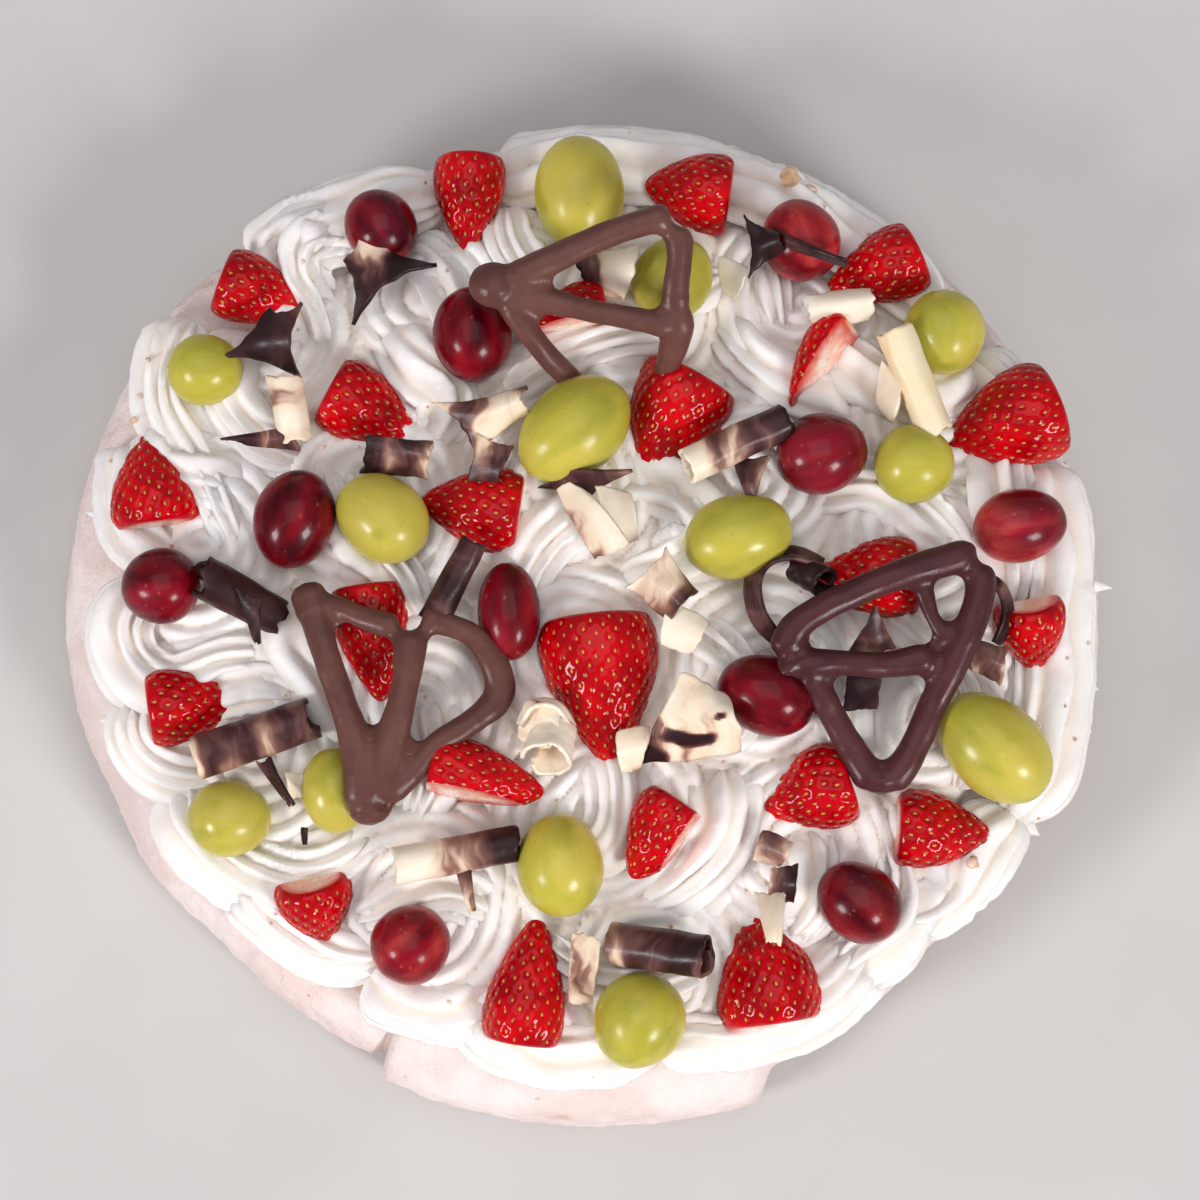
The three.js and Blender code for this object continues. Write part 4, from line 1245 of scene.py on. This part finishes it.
# Loose flakes: corners, heights over the crests, bulge, pinch, paleness at each side
LOOSE_FLAKES = [
    (((-80, 35.3), (-64, 38), (-63, 33), (-74, 34.2)), (5, 4, 2, 4), 1.5, 0.1, (0.35, 0.45)),
    (((-48.4, 35.7), (-33.8, 33.8), (-35.5, 27.1), (-49.9, 28)), (7, 7, 1, 1), 2.5, 0.05, (0.05, 0.55)),
    (((-34.5, 42.8), (-14, 45.5), (-13.5, 40.5), (-25, 31)), (4, 8, 6, 2), 3, 0.22, (0.55, 0.62)),
    (((-25, 36), (-17, 33), (-21, 24), (-27, 26)), (5, 4, 1, 1), 1.5, 0.1, (0.3, 0.35)),
    (((-11.8, 24.5), (-7.1, 28), (8.4, 27.6), (-0.6, 22.8)), (2, 7, 7, 3), 1.5, 0.15, (0.2, 0.4)),
    (((-8.8, 26.7), (-0.6, 22.4), (7.5, 12.1), (0, 9.5)), (3, 7, 5, 2), 2.2, -0.1, (0.62, 0.85)),
    (((0.5, 24.5), (8, 22.5), (9.5, 13.5), (4, 13)), (5, 4, 2, 3), 1.5, -0.12, (0.95, 1)),
    (((29, 30.6), (38, 31.4), (34.2, 21.5), (32.5, 22)), (4, 4, 6, 6), 1.5, 0.15, (0.35, 0.42)),
    (((-3.9, 73.6), (10.1, 76.2), (6.9, 65.4), (-0.6, 67.5)), (6, 9, 5, 3), 3, -0.05, (0.3, 0.8)),
    (((32.2, 83.7), (40.5, 79.5), (42, 76), (33.3, 69.7)), (8, 8, 7, 4), 2, 0.28, (0.05, 0.15)),
    (((40, 79.6), (54.6, 72.4), (54.2, 71.8), (41, 76.4)), (9, 12, 12, 8), 3, 0.1, (0.3, 0.42)),
    (((15.7, 11), (22, 1.5), (16.5, -4.6), (7, 3)), (9, 6, 3, 5), 4, 0.1, (0.62, 0.25)),
    (((16.1, -0.2), (24.1, -4.5), (20.9, -10.9), (14.4, -8.8)), (5, 5, 3, 3), 2, -0.12, (0.9, 1)),
    (((36.3, -48.6), (42.4, -51.8), (39.8, -56), (34.2, -54.6)), (4, 5, 3, 2), 2, -0.1, (0.62, 0.7)),
    (((37.6, -56.7), (43.4, -56.1), (42.8, -63.6), (37, -64.3)), (5, 5, 4, 3), 2, 0.05, (0.55, 0.25)),
    (((34.2, -62), (41, -61.5), (39.6, -73), (36.4, -72.4)), (4, 5, 12, 12), 2, 0.1, (0.8, 0.85)),
    (((60.2, -0.5), (64.5, -9.9), (59.6, -12), (54.2, -10.9)), (9, 3, 2, 3), 1, 0.1, (0.15, 0.5)),
    (((54.2, -15), (61.7, -13.5), (60.8, -22.3), (53.1, -23.2)), (3, 5, 1, 1), 2, 0.05, (0.05, 0.2)),
    (((80, -7), (88.6, -9.9), (87.5, -17.4), (80.6, -14)), (5, 6, 3, 2), 2, 0.1, (0.42, 0.6)),
    (((-4.5, -70.1), (1.5, -72.2), (-0.2, -85.1), (-5.4, -85.1)), (4, 3, 2, 2), 1.2, -0.05, (0.6, 0.66)),
    (((-62.5, -48), (-61, -48), (-61.2, -51.4), (-62.2, -51.4)), (3, 3, 1, 1), 0.3, 0.05, (0.1, 0.1)),
    (((46.2, 65.8), (59.1, 67.5), (59.6, 61.5), (47.7, 60)), (5, 6, 4, 3), 4, -0.12, (1, 1)),
    (((62, 52), (66, 47), (64.5, 39), (61, 43)), (4, 5, 3, 2), 2, -0.12, (0.8, 0.9)),
    (((27, 75), (33, 72), (31, 66), (28, 68)), (3, 4, 2, 1), 2, -0.12, (0.85, 1)),
    (((-76, 3), (-70.5, 0.5), (-71.2, -9), (-72.2, -9)), (9, 9, 6, 6), 1, 0.12, (0.1, 0.25)),
    (((-66, -36), (-60, -37), (-61, -41), (-65, -42)), (3, 3, 1, 1), 1, 0.1, (0.6, 0.75)),
    (((-72.5, -33.6), (-69, -33), (-63.6, -43.4), (-64.7, -43.4)), (4, 5, 6, 6), 1.5, 0.2, (0.4, 0.3)),
    (((-29.9, -56), (-26, -55.6), (-25.2, -66), (-26.2, -66.2)), (4, 4, 6, 6), 1.5, 0.2, (0.45, 0.3)),
    (((-14, -21), (-7, -24), (-9, -31), (-16, -29)), (5, 6, 3, 3), 2.5, -0.12, (0.62, 0.8)),
    (((5, -28), (12, -27), (10, -35), (6, -36)), (3, 4, 2, 2), 2.5, -0.12, (0.7, 0.6)),
]
# Loose rolls: x, y, sunk, then length, radius, sweep, taper, roll, pitch, turn, paleness
LOOSE_ROLLS = [
    (-65.5, 42, 0, 14, 3.4, 330, 0.1, 20, 8, -80, (0.62, 0.72)),
    (30.5, 33.6, -0.5, 24, 3.5, 380, 0, 0, 4, 25, (0.85, 0.1)),
    (-30, 3.7, -1.5, 19, 2.9, 380, 0.15, 0, -6, 62, (0.2, 0.3)),
    (46.5, 5.4, 1, 8, 3, 360, 0.1, 0, 30, 150, (0.1, 0.1)),
    (-9.5, -30.5, 0, 9, 5, 330, 0.2, 60, 35, 75, (0.95, 0.9)),
]
# Ribbons on edge: line of (x, y, height over the crest line), width, lean, paleness
RIBBONS = [
    (((40.5, -9, 3), (35.5, -3, 4), (34.3, 4, 5), (37, 8.6, 5), (42.5, 10, 5), (49, 8, 4)), 6, 0.6, 0.2),
    (((81.5, 6.5, 4), (87, 3, 5), (88.4, -3, 5), (86, -8.5, 4)), 5.5, 0.5, 0.2),
    (((-15.5, -26.5, 5), (-13, -22.5, 6), (-8, -22.5, 6), (-4.5, -27, 4)), 5, 0.3, 0.85),
]


# First seed of each kind, so that no two pieces share a pattern
ROLL_SEED = 1
FLAKE_SEED = 10
LOOSE_FLAKE_SEED = 20
LOOSE_ROLL_SEED = 60
RIBBON_SEED = 70


def make_chocolate():
    make_lattice("lattice_left", "milk_chocolate", milk_finish)
    make_lattice("lattice_top", "milk_chocolate", milk_finish)
    make_lattice("lattice_right", "dark_chocolate", dark_finish)
    for seed, (node, slot, finish, *shape) in enumerate(ROLLS, ROLL_SEED):
        bm = new_sheets()
        roll_curl(bm, seed, *shape)
        centre_on(bm.verts, box_centre(node))
        declare(thicken(new_piece(f"{node}_sheet", bm, [finish])), slot, node)
    for seed, (node, slot, finish, *shape) in enumerate(FLAKES, FLAKE_SEED):
        bm = new_sheets()
        shard(bm, seed, *shape)
        declare(thicken(new_piece(f"{node}_sheet", bm, [finish])), slot, node)
    bm = new_sheets()
    for seed, shape in enumerate(LOOSE_FLAKES, LOOSE_FLAKE_SEED):
        shard(bm, seed, *shape)
    for seed, (x, y, sunk, *shape) in enumerate(LOOSE_ROLLS, LOOSE_ROLL_SEED):
        seat(roll_curl(bm, seed, *shape), x, y, sunk)
    for seed, shape in enumerate(RIBBONS, RIBBON_SEED):
        ribbon(bm, seed, *shape)
    declare(thicken(new_piece("chocolate_shavings", bm, [marbled_finish])), "marbled_chocolate")


# ---------------------------------------------------------------- crumbs

# Larger crumbs of baked meringue: x, y, size
CRUMBS = [
    (43.1, 93.9, 4.2), (47.5, 91.5, 2.4), (89.1, 57.3, 2.6), (81.5, -55.4, 2.8), (-100.3, 40.9, 1.6),
    (-99.2, 46.4, 1.4), (-98.1, 49.7, 1.3), (-97, 54, 1.2), (-52, 88.5, 1.5), (60, 80, 1.6),
]
FINE_CRUMBS = 90
CRUMB_SEED = 5
DROP_FROM = 90


def make_crumbs(*surfaces):
    """Crumbs that lie on whatever is highest under them."""
    graph = bpy.context.evaluated_depsgraph_get()
    trees = [BVHTree.FromObject(surface, graph) for surface in surfaces]
    chance = random.Random(CRUMB_SEED)
    rows = list(CRUMBS)
    for _ in range(FINE_CRUMBS):
        turn = chance.uniform(0, math.tau)
        out = CREAM_RADIUS * chance.uniform(0.2, 1.08) ** 0.6
        rows.append((out * math.cos(turn), out * math.sin(turn), chance.uniform(0.5, 1.0)))
    bm = bmesh.new()
    for seed, (x, y, size) in enumerate(rows):
        hits = [tree.ray_cast(spot(x, y, DROP_FROM), Vector((0, 0, -1)))[0] for tree in trees]
        heights = [hit.z for hit in hits if hit]
        if not heights:
            continue
        place = spot(x, y, 0)
        place.z = max(heights) + size * 0.2 * MM
        ball = bmesh.ops.create_icosphere(bm, subdivisions=2, radius=size / 2 * MM)
        for v in ball["verts"]:
            uneven = 1 + 0.5 * noise.noise(v.co / (size * 0.4 * MM) + Vector((seed, 0, 0)))
            uneven += 0.45 * noise.noise(v.co / (size * 0.16 * MM) + Vector((seed, 4, 0)))
            v.co = v.co * uneven + place
    return declare(new_piece("meringue_crumbs", bm, [crumb_finish]), "meringue")


# ---------------------------------------------------------------- stage

def make_floor():
    bm = bmesh.new()
    bmesh.ops.create_grid(bm, x_segments=1, y_segments=1, size=2.5)
    f = Finish("floor", Roughness=0.7, Specular_IOR_Level=0.2)
    f.base(f.mottle("#cccac7", "#c7c5c2", 6.0, 0.2))
    floor = new_piece("floor", bm, [f.material], smooth=False)


SOFTBOX_AWAY = 1.8


def add_softbox(name, azimuth, elevation, size, power, tint):
    light = bpy.data.lights.new(name, "AREA")
    light.shape = "SQUARE"
    light.size = size
    light.energy = power
    light.color = tint
    lamp = bpy.data.objects.new(name, light)
    a, e = math.radians(azimuth), math.radians(elevation)
    out = Vector((math.cos(a) * math.cos(e), math.sin(a) * math.cos(e), math.sin(e)))
    lamp.location = out * SOFTBOX_AWAY
    lamp.rotation_mode = "QUATERNION"
    lamp.rotation_quaternion = out.to_track_quat("Z", "Y")
    bpy.context.scene.collection.objects.link(lamp)


CAMERA_AWAY = 0.937
CAMERA_ELEVATION = 85.7
CAMERA_FOCAL = 125.2
VIEW_MIDDLE = (1.4, 3.9)


def add_camera():
    data = bpy.data.cameras.new("camera")
    data.lens = CAMERA_FOCAL
    data.sensor_width = 36
    camera = bpy.data.objects.new("camera", data)
    e = math.radians(CAMERA_ELEVATION)
    camera.location = spot(*VIEW_MIDDLE, 0) + Vector((0, -math.cos(e), math.sin(e))) * CAMERA_AWAY
    camera.rotation_euler = (math.pi / 2 - e, 0, 0)
    bpy.context.scene.collection.objects.link(camera)
    bpy.context.scene.camera = camera


def add_light():
    add_softbox("softbox_right", -47, 36, 0.5, 19, (1, 0.98, 0.98))
    add_softbox("softbox_left", 210, 34, 0.45, 15.5, (1, 0.98, 0.99))
    add_softbox("overhead", 100, 78, 1.6, 8.5, (1, 1, 1))
    world = bpy.data.worlds.new("studio")
    world.use_nodes = True
    sky = world.node_tree.nodes["Background"]
    sky.inputs["Color"].default_value = (0.97, 0.94, 1, 1)
    sky.inputs["Strength"].default_value = 0.3
    bpy.context.scene.world = world
    bpy.context.scene.view_settings.view_transform = "Standard"


add_camera()
base = make_meringue()
mound = make_mound()
ropes = make_ropes()
make_crumbs(base, mound, ropes)
make_strawberries()
make_grapes()
make_chocolate()
make_floor()
add_light()

bpy.context.view_layer.update()
